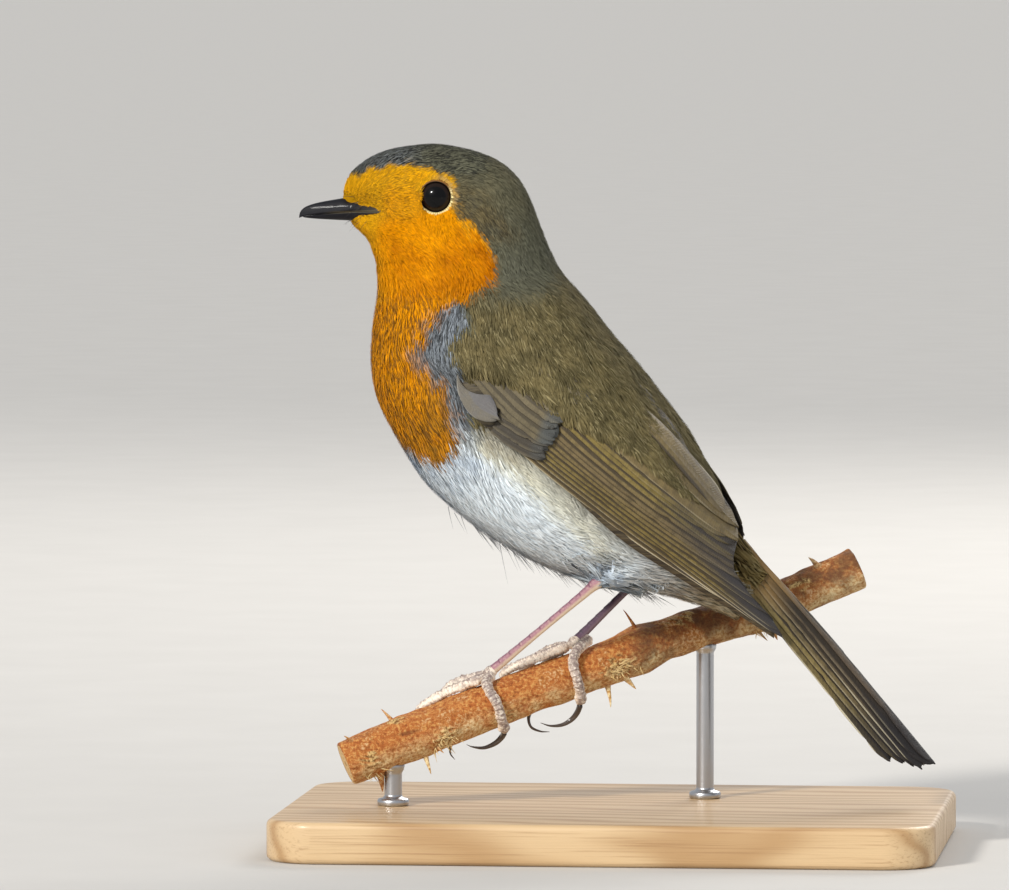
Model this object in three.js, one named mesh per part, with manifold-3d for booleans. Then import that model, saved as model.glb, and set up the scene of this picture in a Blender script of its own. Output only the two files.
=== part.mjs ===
// A European robin, life size, gripping a cut length of branch that a plain display stand holds.
// Millimetres, +Z up. The bird faces -X with its left side towards -Y.
// The origin is the middle of the underside of the stand's base.
import * as THREE from "three";
import { mergeVertices } from "three/addons/utils/BufferGeometryUtils.js";
import Module from "manifold-3d";

const wasm = await Module();
wasm.setup();

// ---- driving dimensions ----
const clearance = 0.3; // left between pieces that touch
const bodySides = 26; // facets round the body
const bodySteps = 1.5; // rings for each station of the body
const eyeRadius = 3.5; // the whole eyeball, most of it inside the head
const eyeCentre = { x: -30.0, z: 110.3, side: 5.75 };
const tarsusRadius = 0.75;
const thighRadius = 3.1;
const wingGap = 0.55; // between the body and the inside of the wing
const wingLift = 1.6; // the least the wing's outside stands off the body
const perchRadius = 3.7;
const base = { length: 112, width: 78, height: 7, corner: 9, edge: 0.8 };
const rodRadius = 1.5;

const colours = {
  orange: 0xd9860f,
  olive: 0x6b6748,
  wing: 0x665b3c,
  tail: 0x57503a,
  horn: 0x2c2b2e,
  eye: 0x0d0a09,
  leg: 0x8f6f70,
  toe: 0xa79d93,
  claw: 0x4a4038,
  bark: 0xa5622f,
  stand: 0xc9c3b8,
  steel: 0xa8a8a6,
};

// Stations of the body from the crown down to the root of the tail. Each is a flat oval, front to back,
// given by its front and back points in the plane of symmetry, its half width, how far back it is widest
// and how pointed its front is (0.5 is a plain ellipse).
const bodyStations = [
  { front: [-30.6, 119.6], back: [-30.4, 119.6], half: 0.02, widest: 0.5, point: 0.5 },
  { front: [-39.4, 118.3], back: [-23.0, 117.8], half: 4.4, widest: 0.52, point: 0.56 },
  { front: [-44.2, 115.3], back: [-18.4, 115.3], half: 7.2, widest: 0.55, point: 0.6 },
  { front: [-46.1, 112.2], back: [-15.3, 111.5], half: 8.8, widest: 0.58, point: 0.68 },
  { front: [-46.4, 109.1], back: [-13.6, 107.3], half: 9.6, widest: 0.6, point: 0.74 },
  { front: [-45.4, 105.6], back: [-12.1, 103.5], half: 10.0, widest: 0.6, point: 0.7 },
  { front: [-43.0, 102.8], back: [-10.9, 100.8], half: 10.6, widest: 0.58, point: 0.62 },
  { front: [-41.7, 99.1], back: [-9.4, 97.9], half: 11.8, widest: 0.56, point: 0.55 },
  { front: [-41.2, 94.4], back: [-6.6, 94.0], half: 13.6, widest: 0.54, point: 0.5 },
  { front: [-42.0, 88.4], back: [-2.9, 89.6], half: 15.6, widest: 0.5, point: 0.5 },
  { front: [-42.3, 82.4], back: [1.4, 84.8], half: 17.2, widest: 0.48, point: 0.5 },
  { front: [-41.3, 76.0], back: [4.9, 79.7], half: 18.2, widest: 0.48, point: 0.5 },
  { front: [-38.2, 69.4], back: [8.0, 74.8], half: 18.6, widest: 0.48, point: 0.5 },
  { front: [-33.2, 61.7], back: [11.0, 69.5], half: 18.3, widest: 0.48, point: 0.5 },
  { front: [-26.2, 55.3], back: [13.6, 64.8], half: 17.3, widest: 0.48, point: 0.5 },
  { front: [-18.2, 50.0], back: [15.8, 60.7], half: 15.6, widest: 0.48, point: 0.5 },
  { front: [-8.8, 45.6], back: [17.8, 57.3], half: 13.2, widest: 0.5, point: 0.5 },
  { front: [0.5, 43.7], back: [19.7, 54.6], half: 10.6, widest: 0.5, point: 0.5 },
  { front: [8.2, 42.2], back: [21.8, 52.2], half: 8.2, widest: 0.5, point: 0.5 },
  { front: [15.0, 40.3], back: [23.8, 49.8], half: 6.3, widest: 0.5, point: 0.5 },
  { front: [20.4, 38.2], back: [26.0, 46.8], half: 4.8, widest: 0.5, point: 0.5 },
];
const headEnd = 5.75; // stations where the head meets the neck, and the neck the trunk
const neckEnd = 8.1;
const cutShare = 0.035; // half the width of a parting cut, in stations

// The folded wing, from the bend at the shoulder to the tip: lower edge, middle and upper edge as
// [x, distance from the plane of symmetry, z] on the outer face, and how far the solid reaches inwards.
const wingStations = [
  { lower: [-24.5, 17.5, 76.5], middle: [-24.7, 18.0, 79.9], upper: [-24.4, 17.4, 83.3], depth: 3 },
  { lower: [-21.7, 18.3, 72.6], middle: [-21.3, 19.6, 81.2], upper: [-20.6, 16.9, 89.3], depth: 5 },
  { lower: [-16.2, 19.0, 68.6], middle: [-12.0, 19.5, 80.2], upper: [-9.1, 12.9, 90.3], depth: 6 },
  { lower: [-8.5, 18.8, 62.4], middle: [-2.6, 18.6, 72.0], upper: [2.5, 8.4, 81.0], depth: 6 },
  { lower: [1.4, 16.0, 52.8], middle: [7.6, 15.8, 62.6], upper: [12.5, 3.8, 71.8], depth: 5 },
  { lower: [12.4, 11.5, 45.2], middle: [16.3, 11.8, 53.0], upper: [19.2, 2.6, 60.1], depth: 3 },
  { lower: [20.9, 9.0, 39.9], middle: [22.2, 9.7, 45.8], upper: [22.8, 3.4, 52.4], depth: 1.8 },
  { lower: [29.0, 7.5, 34.7], middle: [29.1, 7.7, 35.3], upper: [29.1, 7.4, 35.8], depth: 1 },
];

// The closed tail is a roof with its ridge along the back: where the ridge starts, its slope and length,
// the half width of the roof at its root and its tip, and how far the eaves hang below the ridge.
const tail = {
  ridgeStart: [21.9, 53.0],
  slope: THREE.MathUtils.degToRad(50.2),
  from: 5,
  length: 51.8,
  rootHalf: 4.2,
  tipHalf: 6.8,
  rootDrop: 4.6,
  tipDrop: 5.4,
  thick: 1.2,
  notch: 1.4,
  corner: 5.0,
};

// The branch's centre line.
const perchLine = [
  [-45.4, -8.6, 14.2],
  [-38.2, -6.6, 17.2],
  [-31.1, -4.6, 19.9],
  [-22.4, -2.4, 23.3],
  [-14.1, 0.0, 26.4],
  [-7.8, 1.9, 28.6],
  [-1.2, 4.6, 31.0],
  [7.3, 8.8, 34.4],
  [14.1, 12.4, 36.6],
  [22.3, 16.0, 38.8],
  [31.1, 18.6, 42.4],
  [39.6, 20.6, 46.2],
];
// The legs. The heel and the line inside the thigh are plain points. The ankle, toes and claws lie against
// the branch: x of its centre line, degrees round it from the top towards the left side, height above it.
const legs = {
  left: {
    heel: [-2.6, -7.7, 45.2],
    thigh: [[5.5, -8.6, 50.5], [2.2, -8.4, 47.2], [-0.8, -8.0, 45.2], [-3.4, -7.6, 43.9]],
    ankle: [-19.7, 7, 1.7],
    toes: [
      {
        line: [
          [-19.4, 12, 1.5], [-20.9, 28, 1.2], [-21.2, 54, 1.2],
          [-20.9, 86, 1.2], [-21, 118, 1.2], [-20.9, 148, 1.2],
        ],
        claw: [
          [-20.9, 160, 1.2], [-21.4, 176, 1.7], [-22.6, 184, 2.4],
          [-24.5, 187, 2.5], [-26.2, 182, 1.5], [-27, 172, 0.7],
        ],
        radius: 0.92,
      },
      {
        line: [
          [-20.2, -2, 1.4], [-22.4, -28, 1.1], [-24.4, -58, 1.1],
          [-26.2, -90, 1.1], [-27.8, -122, 1.1],
        ],
        claw: [[-28.2, -133, 1.0], [-29.1, -148, 1.1], [-29.6, -159, 1.8], [-29.3, -164, 2.9]],
        radius: 0.78,
      },
      {
        line: [
          [-20.1, 8, 1.4], [-22.6, 4, 1.15], [-25.3, -8, 1.1],
          [-28, -22, 1.1], [-30.9, -42, 1.1], [-32, -60, 1.1],
        ],
        claw: [[-32.4, -72, 1.0], [-33.1, -87, 1.2], [-33.3, -102, 1.0], [-32.9, -116, 0.6]],
        radius: 0.8,
      },
      {
        line: [
          [-20, 2, 1.5], [-22.4, -8, 1.7], [-24.6, -16, 2.1],
          [-26.6, -30, 1.9], [-28.2, -52, 1.2], [-29.4, -74, 1.1],
        ],
        claw: [[-29.9, -87, 1.0], [-30.5, -102, 1.2], [-30.6, -117, 1.0], [-30.1, -130, 0.6]],
        radius: 0.76,
      },
    ],
  },
  right: {
    heel: [6.2, 8.6, 48.2],
    thigh: [[12, 7.6, 54], [8.6, 8.2, 50], [5.4, 8.2, 46.9], [3.2, 7.6, 44.9]],
    ankle: [-6.1, 6, 1.7],
    toes: [
      {
        line: [
          [-3.4, 8, 1.6], [-5.4, 24, 1.5], [-7.2, 42, 1.3], [-8, 64, 1.2],
          [-8.1, 92, 1.2], [-8.2, 122, 1.2], [-8.3, 148, 1.2],
        ],
        claw: [
          [-8.3, 160, 1.3], [-8.9, 174, 2.3], [-9.9, 182, 3.2],
          [-11.5, 184, 3.6], [-13.4, 184, 3.1], [-14.9, 180, 1.9],
        ],
        radius: 0.92,
      },
      {
        line: [[-6.6, -4, 1.4], [-9, -28, 1.1], [-11, -58, 1.1], [-12.8, -90, 1.1], [-14.6, -124, 1.1]],
        claw: [
          [-15.1, -135, 1.1], [-16.1, -150, 1.7], [-16.2, -160, 2.7],
          [-15.1, -167, 3.7], [-13.8, -170, 4.2],
        ],
        radius: 0.78,
      },
      {
        line: [
          [-6.9, 2, 1.5], [-9.3, -2, 1.4], [-11.7, -4, 1.2],
          [-14.2, -10, 1.1], [-16.7, -26, 1.1], [-17.7, -44, 1.1],
        ],
        claw: [[-18, -56, 1.0], [-18.6, -71, 1.2], [-18.8, -86, 1.0], [-18.4, -100, 0.6]],
        radius: 0.8,
      },
      {
        line: [[-6.8, -1, 1.5], [-9.2, -12, 1.8], [-11.4, -22, 1.6], [-13.6, -40, 1.2], [-15.4, -64, 1.1]],
        claw: [[-15.9, -77, 1.0], [-16.6, -93, 1.2], [-16.8, -108, 1.0], [-16.4, -122, 0.6]],
        radius: 0.76,
      },
    ],
  },
};
// Thorn stubs on the branch: x of the centre line, degrees round it, length and foot radius.
const thornStubs = [
  { x: -41, turn: 178, long: 3.0, wide: 1.3 },
  { x: -33.6, turn: 158, long: 3.4, wide: 1.0 },
  { x: -36.2, turn: -24, long: 2.6, wide: 0.7 },
  { x: -3.4, turn: 156, long: 3.8, wide: 1.0 },
  { x: -0.8, turn: 140, long: 3.0, wide: 1.5 },
  { x: 3.6, turn: 6, long: 3.8, wide: 0.6 },
  { x: 24, turn: 186, long: 2.6, wide: 1.3 },
  { x: 34, turn: 24, long: 2.4, wide: 1.2 },
];
const rodPlaces = [-37.5, 14]; // x of the two rods

// ---- helpers ----
// A smooth curve through numbers or points at whole values of t (uniform Catmull-Rom).
function along(values, t) {
  const last = values.length - 1;
  const i = Math.min(Math.max(Math.floor(t), 0), last - 1);
  const f = t - i;
  const at = (k) => values[Math.min(Math.max(k, 0), last)];
  const mix = (a, b, c, d) =>
    0.5 * (2 * b + (c - a) * f + (2 * a - 5 * b + 4 * c - d) * f * f + (3 * b - a - 3 * c + d) * f ** 3);
  const four = [at(i - 1), at(i), at(i + 1), at(i + 2)];
  return Array.isArray(four[0]) ? four[0].map((_, n) => mix(...four.map((p) => p[n]))) : mix(...four);
}

function geometryFrom(points, faces) {
  const geometry = new THREE.BufferGeometry();
  geometry.setAttribute("position", new THREE.Float32BufferAttribute(points.flat(), 3));
  geometry.setIndex(faces.flat());
  return geometry;
}

// A closed solid through rings of points, each ring filled at the two ends by a fan from its middle.
function ringSolid(rings) {
  const sides = rings[0].length;
  const points = rings.flat();
  const faces = [];
  for (let r = 0; r + 1 < rings.length; r++) {
    for (let s = 0; s < sides; s++) {
      const [a, b] = [r * sides + s, r * sides + ((s + 1) % sides)];
      faces.push([a, b, b + sides], [a, b + sides, a + sides]);
    }
  }
  for (const [r, flip] of [[0, true], [rings.length - 1, false]]) {
    const middle = rings[r].reduce((m, p) => m.map((v, n) => v + p[n] / sides), [0, 0, 0]);
    const hub = points.push(middle) - 1;
    for (let s = 0; s < sides; s++) {
      const [a, b] = [r * sides + s, r * sides + ((s + 1) % sides)];
      faces.push(flip ? [b, a, hub] : [a, b, hub]);
    }
  }
  return solidOf(geometryFrom(points, faces));
}

// A closed plate between an outer and an inner grid of points.
function plateSolid(outer, inner) {
  const [rows, columns] = [outer.length, outer[0].length];
  const points = [...outer.flat(), ...inner.flat()];
  const back = rows * columns;
  const faces = [];
  const quad = (a, b, c, d) => faces.push([a, b, c], [a, c, d]);
  for (let r = 0; r + 1 < rows; r++) {
    for (let c = 0; c + 1 < columns; c++) {
      const i = r * columns + c;
      quad(i, i + 1, i + columns + 1, i + columns);
      quad(back + i + columns, back + i + columns + 1, back + i + 1, back + i);
    }
  }
  for (let c = 0; c + 1 < columns; c++) {
    const end = (rows - 1) * columns + c;
    quad(c + 1, c, back + c, back + c + 1);
    quad(end, end + 1, back + end + 1, back + end);
  }
  for (let r = 0; r + 1 < rows; r++) {
    const [start, end] = [r * columns, r * columns + columns - 1];
    quad(start, start + columns, back + start + columns, back + start);
    quad(end + columns, end, back + end, back + end + columns);
  }
  return solidOf(geometryFrom(points, faces));
}

function solidOf(geometry) {
  const bare = new THREE.BufferGeometry();
  bare.setAttribute("position", geometry.getAttribute("position"));
  if (geometry.index) bare.setIndex(geometry.index);
  const merged = mergeVertices(bare, 1e-4);
  const made = new wasm.Manifold(
    new wasm.Mesh({
      numProp: 3,
      vertProperties: merged.attributes.position.array,
      triVerts: new Uint32Array(merged.index.array),
    }),
  );
  if (made.volume() > 0) return made;
  const turned = new Uint32Array(merged.index.array);
  for (let i = 0; i < turned.length; i += 3) [turned[i + 1], turned[i + 2]] = [turned[i + 2], turned[i + 1]];
  return new wasm.Manifold(
    new wasm.Mesh({ numProp: 3, vertProperties: merged.attributes.position.array, triVerts: turned }),
  );
}

// The largest body of a solid as a three.js geometry: cutting can leave loose slivers.
function geometryOf(solid) {
  const largest = solid.decompose().sort((a, b) => b.volume() - a.volume())[0];
  const { numProp, vertProperties, triVerts } = largest.getMesh();
  const points = [];
  for (let i = 0; i < vertProperties.length; i += numProp) {
    points.push([...vertProperties.subarray(i, i + 3)]);
  }
  const geometry = geometryFrom(points, [[...triVerts]]).toNonIndexed();
  geometry.computeVertexNormals();
  return geometry;
}

function curveThrough(line) {
  const points = line.map((p) => new THREE.Vector3(...p));
  return new THREE.CatmullRomCurve3(points, false, "centripetal");
}

// A round solid along a line of points, its radius given for each share of the way.
function sweep(line, radiusAt, sides, steps) {
  const curve = curveThrough(line);
  const frames = curve.computeFrenetFrames(steps, false);
  const rings = [];
  for (let i = 0; i <= steps; i++) {
    const [middle, radius] = [curve.getPointAt(i / steps), radiusAt(i / steps)];
    const ring = [];
    for (let s = 0; s < sides; s++) {
      const turn = (2 * Math.PI * s) / sides;
      const p = middle
        .clone()
        .addScaledVector(frames.normals[i], radius * Math.cos(turn))
        .addScaledVector(frames.binormals[i], radius * Math.sin(turn));
      ring.push([p.x, p.y, p.z]);
    }
    rings.push(ring);
  }
  return ringSolid(rings);
}

function ellipsoid(centre, radii, widthSegments, heightSegments) {
  const geometry = new THREE.SphereGeometry(1, widthSegments, heightSegments);
  return solidOf(geometry.scale(...radii).translate(...centre));
}

const group = new THREE.Group();
function addPiece(name, solid, colour, roughness = 0.7, metalness = 0) {
  const material = new THREE.MeshStandardMaterial({ color: colour, roughness, metalness });
  const mesh = new THREE.Mesh(geometryOf(solid), material);
  mesh.name = name;
  group.add(mesh);
  return mesh;
}

// ---- body ----
const stationValues = (key) => bodyStations.map((station) => station[key]);
const [fronts, backs] = [stationValues("front"), stationValues("back")];
const [halves, widests, points] = [stationValues("half"), stationValues("widest"), stationValues("point")];

// One ring of the body: two half ovals that meet where the section is widest, grown all round by extra.
function bodyRing(t, extra = 0) {
  const [front, back] = [along(fronts, t), along(backs, t)];
  const [half, widest, point] = [along(halves, t) + extra, along(widests, t), along(points, t)];
  const length = Math.hypot(back[0] - front[0], back[1] - front[1]);
  const way = [(back[0] - front[0]) / length, (back[1] - front[1]) / length];
  const ring = [];
  for (let s = 0; s < bodySides; s++) {
    const turn = (2 * Math.PI * s) / bodySides;
    const [c, sine] = [Math.cos(turn), Math.sin(turn)];
    const share = c > 0 ? widest : 1 - widest;
    const reach = widest * length - c * (share * length + extra);
    const side = Math.sign(sine) * half * Math.abs(sine) ** (2 * (c > 0 ? point : 0.5));
    ring.push([front[0] + way[0] * reach, side, front[1] + way[1] * reach]);
  }
  return ring;
}

function bodyPart(from, to, extra = 0) {
  const steps = Math.max(2, Math.round((to - from) * bodySteps));
  const rings = [];
  for (let i = 0; i <= steps; i++) rings.push(bodyRing(from + ((to - from) * i) / steps, extra));
  return ringSolid(rings);
}

const lastStation = bodyStations.length - 1;
const trunkGrown = bodyPart(neckEnd, lastStation, clearance);

// ---- bill ----
// The bill is a long cone with an arched ridge. Its rings stand across the way it points.
const bill = {
  tip: [-54.1, 107.1],
  root: [-40.0, 108.6],
  topRoot: 110.5,
  lowRoot: 105.9,
  half: 2.7,
  gape: 107.7,
};
function billHalf(upper) {
  const rings = [];
  const rows = 8;
  const across = 8;
  for (let i = 0; i <= rows; i++) {
    const share = Math.max(1 - i / rows, 0.012);
    const x = bill.tip[0] + (bill.root[0] - bill.tip[0]) * (1 - i / rows);
    const seam = bill.tip[1] + (bill.gape - bill.tip[1]) * share;
    const ridge = bill.tip[1] + (bill.topRoot - bill.tip[1]) * share ** 0.36;
    const keel = bill.tip[1] + (bill.lowRoot - bill.tip[1]) * share ** 0.48;
    const half = bill.half * share ** 0.75;
    const edge = seam + (upper ? 0.5 : -0.5) * clearance;
    const far = upper ? Math.max(ridge, seam + clearance) : Math.min(keel, seam - clearance);
    const ring = [];
    for (let s = 0; s <= across; s++) {
      const turn = (Math.PI * s) / across;
      ring.push([x, half * Math.cos(turn), edge + (far - edge) * Math.sin(turn) ** 0.8]);
    }
    rings.push(ring);
  }
  return ringSolid(rings);
}
const [billUpper, billLower] = [billHalf(true), billHalf(false)];
const billHole = ellipsoid([bill.root[0] - 1.5, 0, 108.15], [9.2, bill.half + 0.35, 2.95], 16, 10);

// ---- eyes, head and neck ----
const eyeAt = (side) => [eyeCentre.x, side * eyeCentre.side, eyeCentre.z];
const eyeRound = (side, extra) => ellipsoid(eyeAt(side), [1, 1, 1].map(() => eyeRadius + extra), 16, 10);
const head = bodyPart(0, headEnd - cutShare)
  .subtract(eyeRound(-1, clearance))
  .subtract(eyeRound(1, clearance))
  .subtract(billHole);
addPiece("head", head, colours.orange);
addPiece("bill_upper", billUpper, colours.horn, 0.35);
addPiece("bill_lower", billLower, colours.horn, 0.35);
addPiece("eye_left", eyeRound(-1, 0), colours.eye, 0.05);
addPiece("eye_right", eyeRound(1, 0), colours.eye, 0.05);
addPiece("neck", bodyPart(headEnd + cutShare, neckEnd - cutShare), colours.orange);
addPiece("trunk", bodyPart(neckEnd + cutShare, lastStation), colours.olive);

// ---- tail ----
// Rings of the tail are rows across the roof: level at the ridge, falling to the eaves.
function tailGrid(lift) {
  const rows = 8;
  const columns = 8;
  const way = [Math.cos(tail.slope), -Math.sin(tail.slope)];
  const down = [way[1], -way[0]];
  const grid = [];
  for (let r = 0; r <= rows; r++) {
    const share = r / rows;
    const row = [];
    for (let c = 0; c <= columns; c++) {
      const side = (2 * c) / columns - 1;
      const half = tail.rootHalf + (tail.tipHalf - tail.rootHalf) * share;
      const drop = tail.rootDrop + (tail.tipDrop - tail.rootDrop) * share;
      const end = tail.length - tail.notch * (1 - Math.abs(side)) ** 2 - tail.corner * Math.abs(side) ** 3;
      const far = tail.from + (end - tail.from) * share;
      const low = drop * Math.abs(side) ** 1.25 + lift;
      row.push([
        tail.ridgeStart[0] + way[0] * far + down[0] * low,
        side * half,
        tail.ridgeStart[1] + way[1] * far + down[1] * low,
      ]);
    }
    grid.push(row);
  }
  return grid;
}
const tailSolid = plateSolid(tailGrid(0), tailGrid(tail.thick)).subtract(trunkGrown);
addPiece("tail", tailSolid, colours.tail);

// ---- wings ----
// Half the width of the body where its side is crossed at x, z: none outside its outline.
function bodyHalfAt(x, z) {
  const lastStation = bodyStations.length - 1;
  let [low, high] = [0.01, lastStation];
  const section = (t) => {
    const [front, back] = [along(fronts, t), along(backs, t)];
    return { front, way: [back[0] - front[0], back[1] - front[1]] };
  };
  for (let i = 0; i < 24; i++) {
    const t = (low + high) / 2;
    const { front, way } = section(t);
    if (way[0] * (z - front[1]) - way[1] * (x - front[0]) > 0) high = t;
    else low = t;
  }
  const { front, way } = section(low);
  const share = (way[0] * (x - front[0]) + way[1] * (z - front[1])) / (way[0] ** 2 + way[1] ** 2);
  if (share <= 0 || share >= 1 || low > lastStation - 0.01) return 0;
  const [widest, point] = [along(widests, low), along(points, low)];
  const reach = share < widest ? (widest - share) / widest : (share - widest) / (1 - widest);
  return along(halves, low) * (1 - reach ** 2) ** (share < widest ? point : 0.5);
}

// A section of the wing is a parabola through its lower edge, middle and upper edge, lifted off the body.
function wingPoint(t, across, side, inner) {
  const [low, mid, up] = ["lower", "middle", "upper"].map((key) => along(wingStations.map((w) => w[key]), t));
  const [a, b, c] = [(1 - across) * (1 - 2 * across), 4 * across * (1 - across), across * (2 * across - 1)];
  const p = low.map((v, n) => a * v + b * mid[n] + c * up[n]);
  const body = bodyHalfAt(p[0], p[2]);
  const outer = Math.max(p[1], body + wingLift);
  const edge = Math.min(1, 5 * Math.min(across, 1 - across) + 0.35);
  const depth = edge * along(wingStations.map((w) => w.depth), t);
  const inside = Math.min(Math.max(outer - depth, body + wingGap), outer - 0.7);
  return [p[0], side * (inner ? inside : outer), p[2]];
}
function wing(side) {
  const [rows, columns] = [16, 8];
  const grid = (inner) =>
    Array.from({ length: rows + 1 }, (_, r) =>
      Array.from({ length: columns + 1 }, (_, c) =>
        wingPoint(((wingStations.length - 1) * r) / rows, c / columns, side, inner),
      ),
    );
  return plateSolid(grid(false), grid(true));
}
addPiece("wing_left", wing(-1), colours.wing);
addPiece("wing_right", wing(1), colours.wing);

// ---- branch ----
const perchCurve = curveThrough(perchLine);
const perchGirth = (share) =>
  perchRadius + 0.22 * Math.sin(5.2 * share + 0.6) + 0.42 * Math.exp(-(((share - 0.56) / 0.035) ** 2));
const branch = (extra) => sweep(perchLine, (share) => perchGirth(share) + extra, 12, 26);

// How far along the branch its centre line has a given x, as a share of the length.
function shareAt(x) {
  let [low, high] = [0, 1];
  for (let i = 0; i < 20; i++) {
    const middle = (low + high) / 2;
    if (perchCurve.getPointAt(middle).x < x) low = middle;
    else high = middle;
  }
  return (low + high) / 2;
}
// The way out of the branch at some degrees round it from the top, positive towards the left side.
function outOfBranch(share, turn) {
  const way = perchCurve.getTangentAt(share);
  const up = new THREE.Vector3(0, 0, 1).addScaledVector(way, -way.z).normalize();
  return up.applyAxisAngle(way, THREE.MathUtils.degToRad(turn));
}
function besideBranch([x, turn, lift]) {
  const share = shareAt(x);
  const point = perchCurve.getPointAt(share);
  return point.addScaledVector(outOfBranch(share, turn), perchGirth(share) + lift).toArray();
}
function thorn({ x, turn, long, wide }) {
  const share = shareAt(x);
  const [middle, way] = [perchCurve.getPointAt(share), perchCurve.getTangentAt(share)];
  const out = outOfBranch(share, turn);
  const foot = middle.clone().addScaledVector(out, perchRadius - 0.8);
  const tip = middle.clone().addScaledVector(out, perchRadius + long).addScaledVector(way, -0.3 * long);
  return sweep([foot.toArray(), tip.toArray()], (along) => wide * (1 - 0.86 * along), 7, 2);
}
addPiece("perch", thornStubs.reduce((solid, stub) => solid.add(thorn(stub)), branch(0)), colours.bark, 0.85);
const perchGrown = branch(clearance);

// ---- legs ----
for (const [side, leg] of Object.entries(legs)) {
  const ankle = besideBranch(leg.ankle);
  const shinRadius = (share) => tarsusRadius * (1.15 - 0.3 * Math.sin(Math.PI * share));
  const shin = (extra) => sweep([leg.heel, ankle], (share) => shinRadius(share) + extra, 10, 4);
  const thigh = (extra) => sweep(leg.thigh, (share) => thighRadius * (1 - 0.52 * share) + extra, 12, 6);
  const pad = (extra) => ellipsoid(ankle, [1.5 + extra, 1.3 + extra, 1.15 + extra], 10, 6);
  const toes = leg.toes.map((toe) =>
    sweep(toe.line.map(besideBranch), (share) => toe.radius * (1.08 - 0.14 * share), 7, 6),
  );
  const foot = toes.reduce((all, toe) => all.add(toe), pad(0)).subtract(perchGrown);
  addPiece(`thigh_${side}`, thigh(0).subtract(trunkGrown), colours.olive);
  const bareShin = shin(0).subtract(trunkGrown).subtract(thigh(clearance)).subtract(pad(clearance));
  addPiece(`tarsus_${side}`, bareShin, colours.leg, 0.5);
  addPiece(`foot_${side}`, foot.subtract(shin(clearance)), colours.toe, 0.6);
  leg.toes.forEach((toe, n) => {
    const claw = sweep(toe.claw.map(besideBranch), (share) => toe.radius * (0.74 - 0.46 * share), 6, 6);
    addPiece(`claw_${side}_${n + 1}`, claw.subtract(perchGrown), colours.claw, 0.35);
  });
}

// ---- stand ----
const outline = new THREE.Shape();
const [halfLength, halfWidth] = [base.length / 2 - base.edge, base.width / 2 - base.edge];
const { corner } = base;
outline.moveTo(-halfLength + corner, -halfWidth);
outline.lineTo(halfLength - corner, -halfWidth);
outline.absarc(halfLength - corner, -halfWidth + corner, corner, -Math.PI / 2, 0);
outline.absarc(halfLength - corner, halfWidth - corner, corner, 0, Math.PI / 2);
outline.absarc(-halfLength + corner, halfWidth - corner, corner, Math.PI / 2, Math.PI);
outline.absarc(-halfLength + corner, -halfWidth + corner, corner, Math.PI, 1.5 * Math.PI);
const slab = new THREE.ExtrudeGeometry(outline, {
  depth: base.height - 2 * base.edge,
  bevelEnabled: true,
  bevelThickness: base.edge,
  bevelSize: base.edge,
  bevelSegments: 1,
  curveSegments: 5,
});
slab.translate(0, 0, base.edge);
addPiece("stand_base", solidOf(slab), colours.stand, 0.5);
rodPlaces.forEach((x, n) => {
  const top = perchCurve.getPointAt(shareAt(x));
  const height = top.z - base.height - clearance;
  const rod = new THREE.CylinderGeometry(rodRadius, rodRadius, height, 14);
  rod.rotateX(Math.PI / 2).translate(top.x, top.y, base.height + clearance + height / 2);
  addPiece(`stand_rod_${n + 1}`, solidOf(rod).subtract(perchGrown), colours.steel, 0.35, 0.9);
});

export default group;
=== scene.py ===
# A European robin on a cut length of branch, held by a display stand.
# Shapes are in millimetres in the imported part's frame: +Z up, bill towards -X, left side towards -Y.
import math
import time

import bpy
import numpy as np
from mathutils import Matrix, Vector


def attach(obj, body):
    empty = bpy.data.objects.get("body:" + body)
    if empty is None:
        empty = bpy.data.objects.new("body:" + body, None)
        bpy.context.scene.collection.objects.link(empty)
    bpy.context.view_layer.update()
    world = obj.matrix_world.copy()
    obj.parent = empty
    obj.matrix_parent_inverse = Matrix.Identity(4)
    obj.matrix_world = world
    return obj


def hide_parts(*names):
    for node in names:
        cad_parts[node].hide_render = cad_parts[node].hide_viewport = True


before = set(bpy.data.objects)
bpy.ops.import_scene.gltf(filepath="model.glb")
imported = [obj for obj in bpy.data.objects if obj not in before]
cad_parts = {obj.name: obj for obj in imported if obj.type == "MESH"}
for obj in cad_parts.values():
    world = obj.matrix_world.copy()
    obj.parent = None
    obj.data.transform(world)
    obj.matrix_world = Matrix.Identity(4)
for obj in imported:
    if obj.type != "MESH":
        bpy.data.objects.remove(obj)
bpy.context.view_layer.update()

millimetre = 0.001
started = time.perf_counter()


def report(stage):
    print(f"{time.perf_counter() - started:6.1f} s  {stage}")


# shapes in numpy
def along(values, t):
    # Catmull-Rom curve through values at whole t, its end values repeated
    values, t = np.asarray(values, float), np.asarray(t, float)
    last = len(values) - 1
    i = np.clip(np.floor(t).astype(int), 0, last - 1)
    f = (t - i).reshape(t.shape + (1,) * (values.ndim - 1))
    a, b, c, d = (values[np.clip(i + k, 0, last)] for k in (-1, 0, 1, 2))
    return 0.5 * (2 * b + (c - a) * f + (2 * a - 5 * b + 4 * c - d) * f**2 + (3 * b - a - 3 * c + d) * f**3)


def smooth(low, high, x):
    # 0 below low, 1 above high, an S-curve between
    x = np.clip((np.asarray(x, float) - low) / (high - low), 0, 1)
    return x * x * (3 - 2 * x)


def bump(centre, width, x):
    # a bell of height 1 round centre
    return np.exp(-(((x - centre) / width) ** 2))


def lengthOf(v):
    return np.linalg.norm(v, axis=-1, keepdims=True)


def unit(v):
    return v / np.maximum(lengthOf(v), 1e-9)


def dot(a, b):
    return (a * b).sum(-1, keepdims=True)


def stacked(*parts):
    # numbers and arrays stretched to one shape, side by side along a new last axis
    return np.stack(np.broadcast_arrays(*parts), -1)


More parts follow.
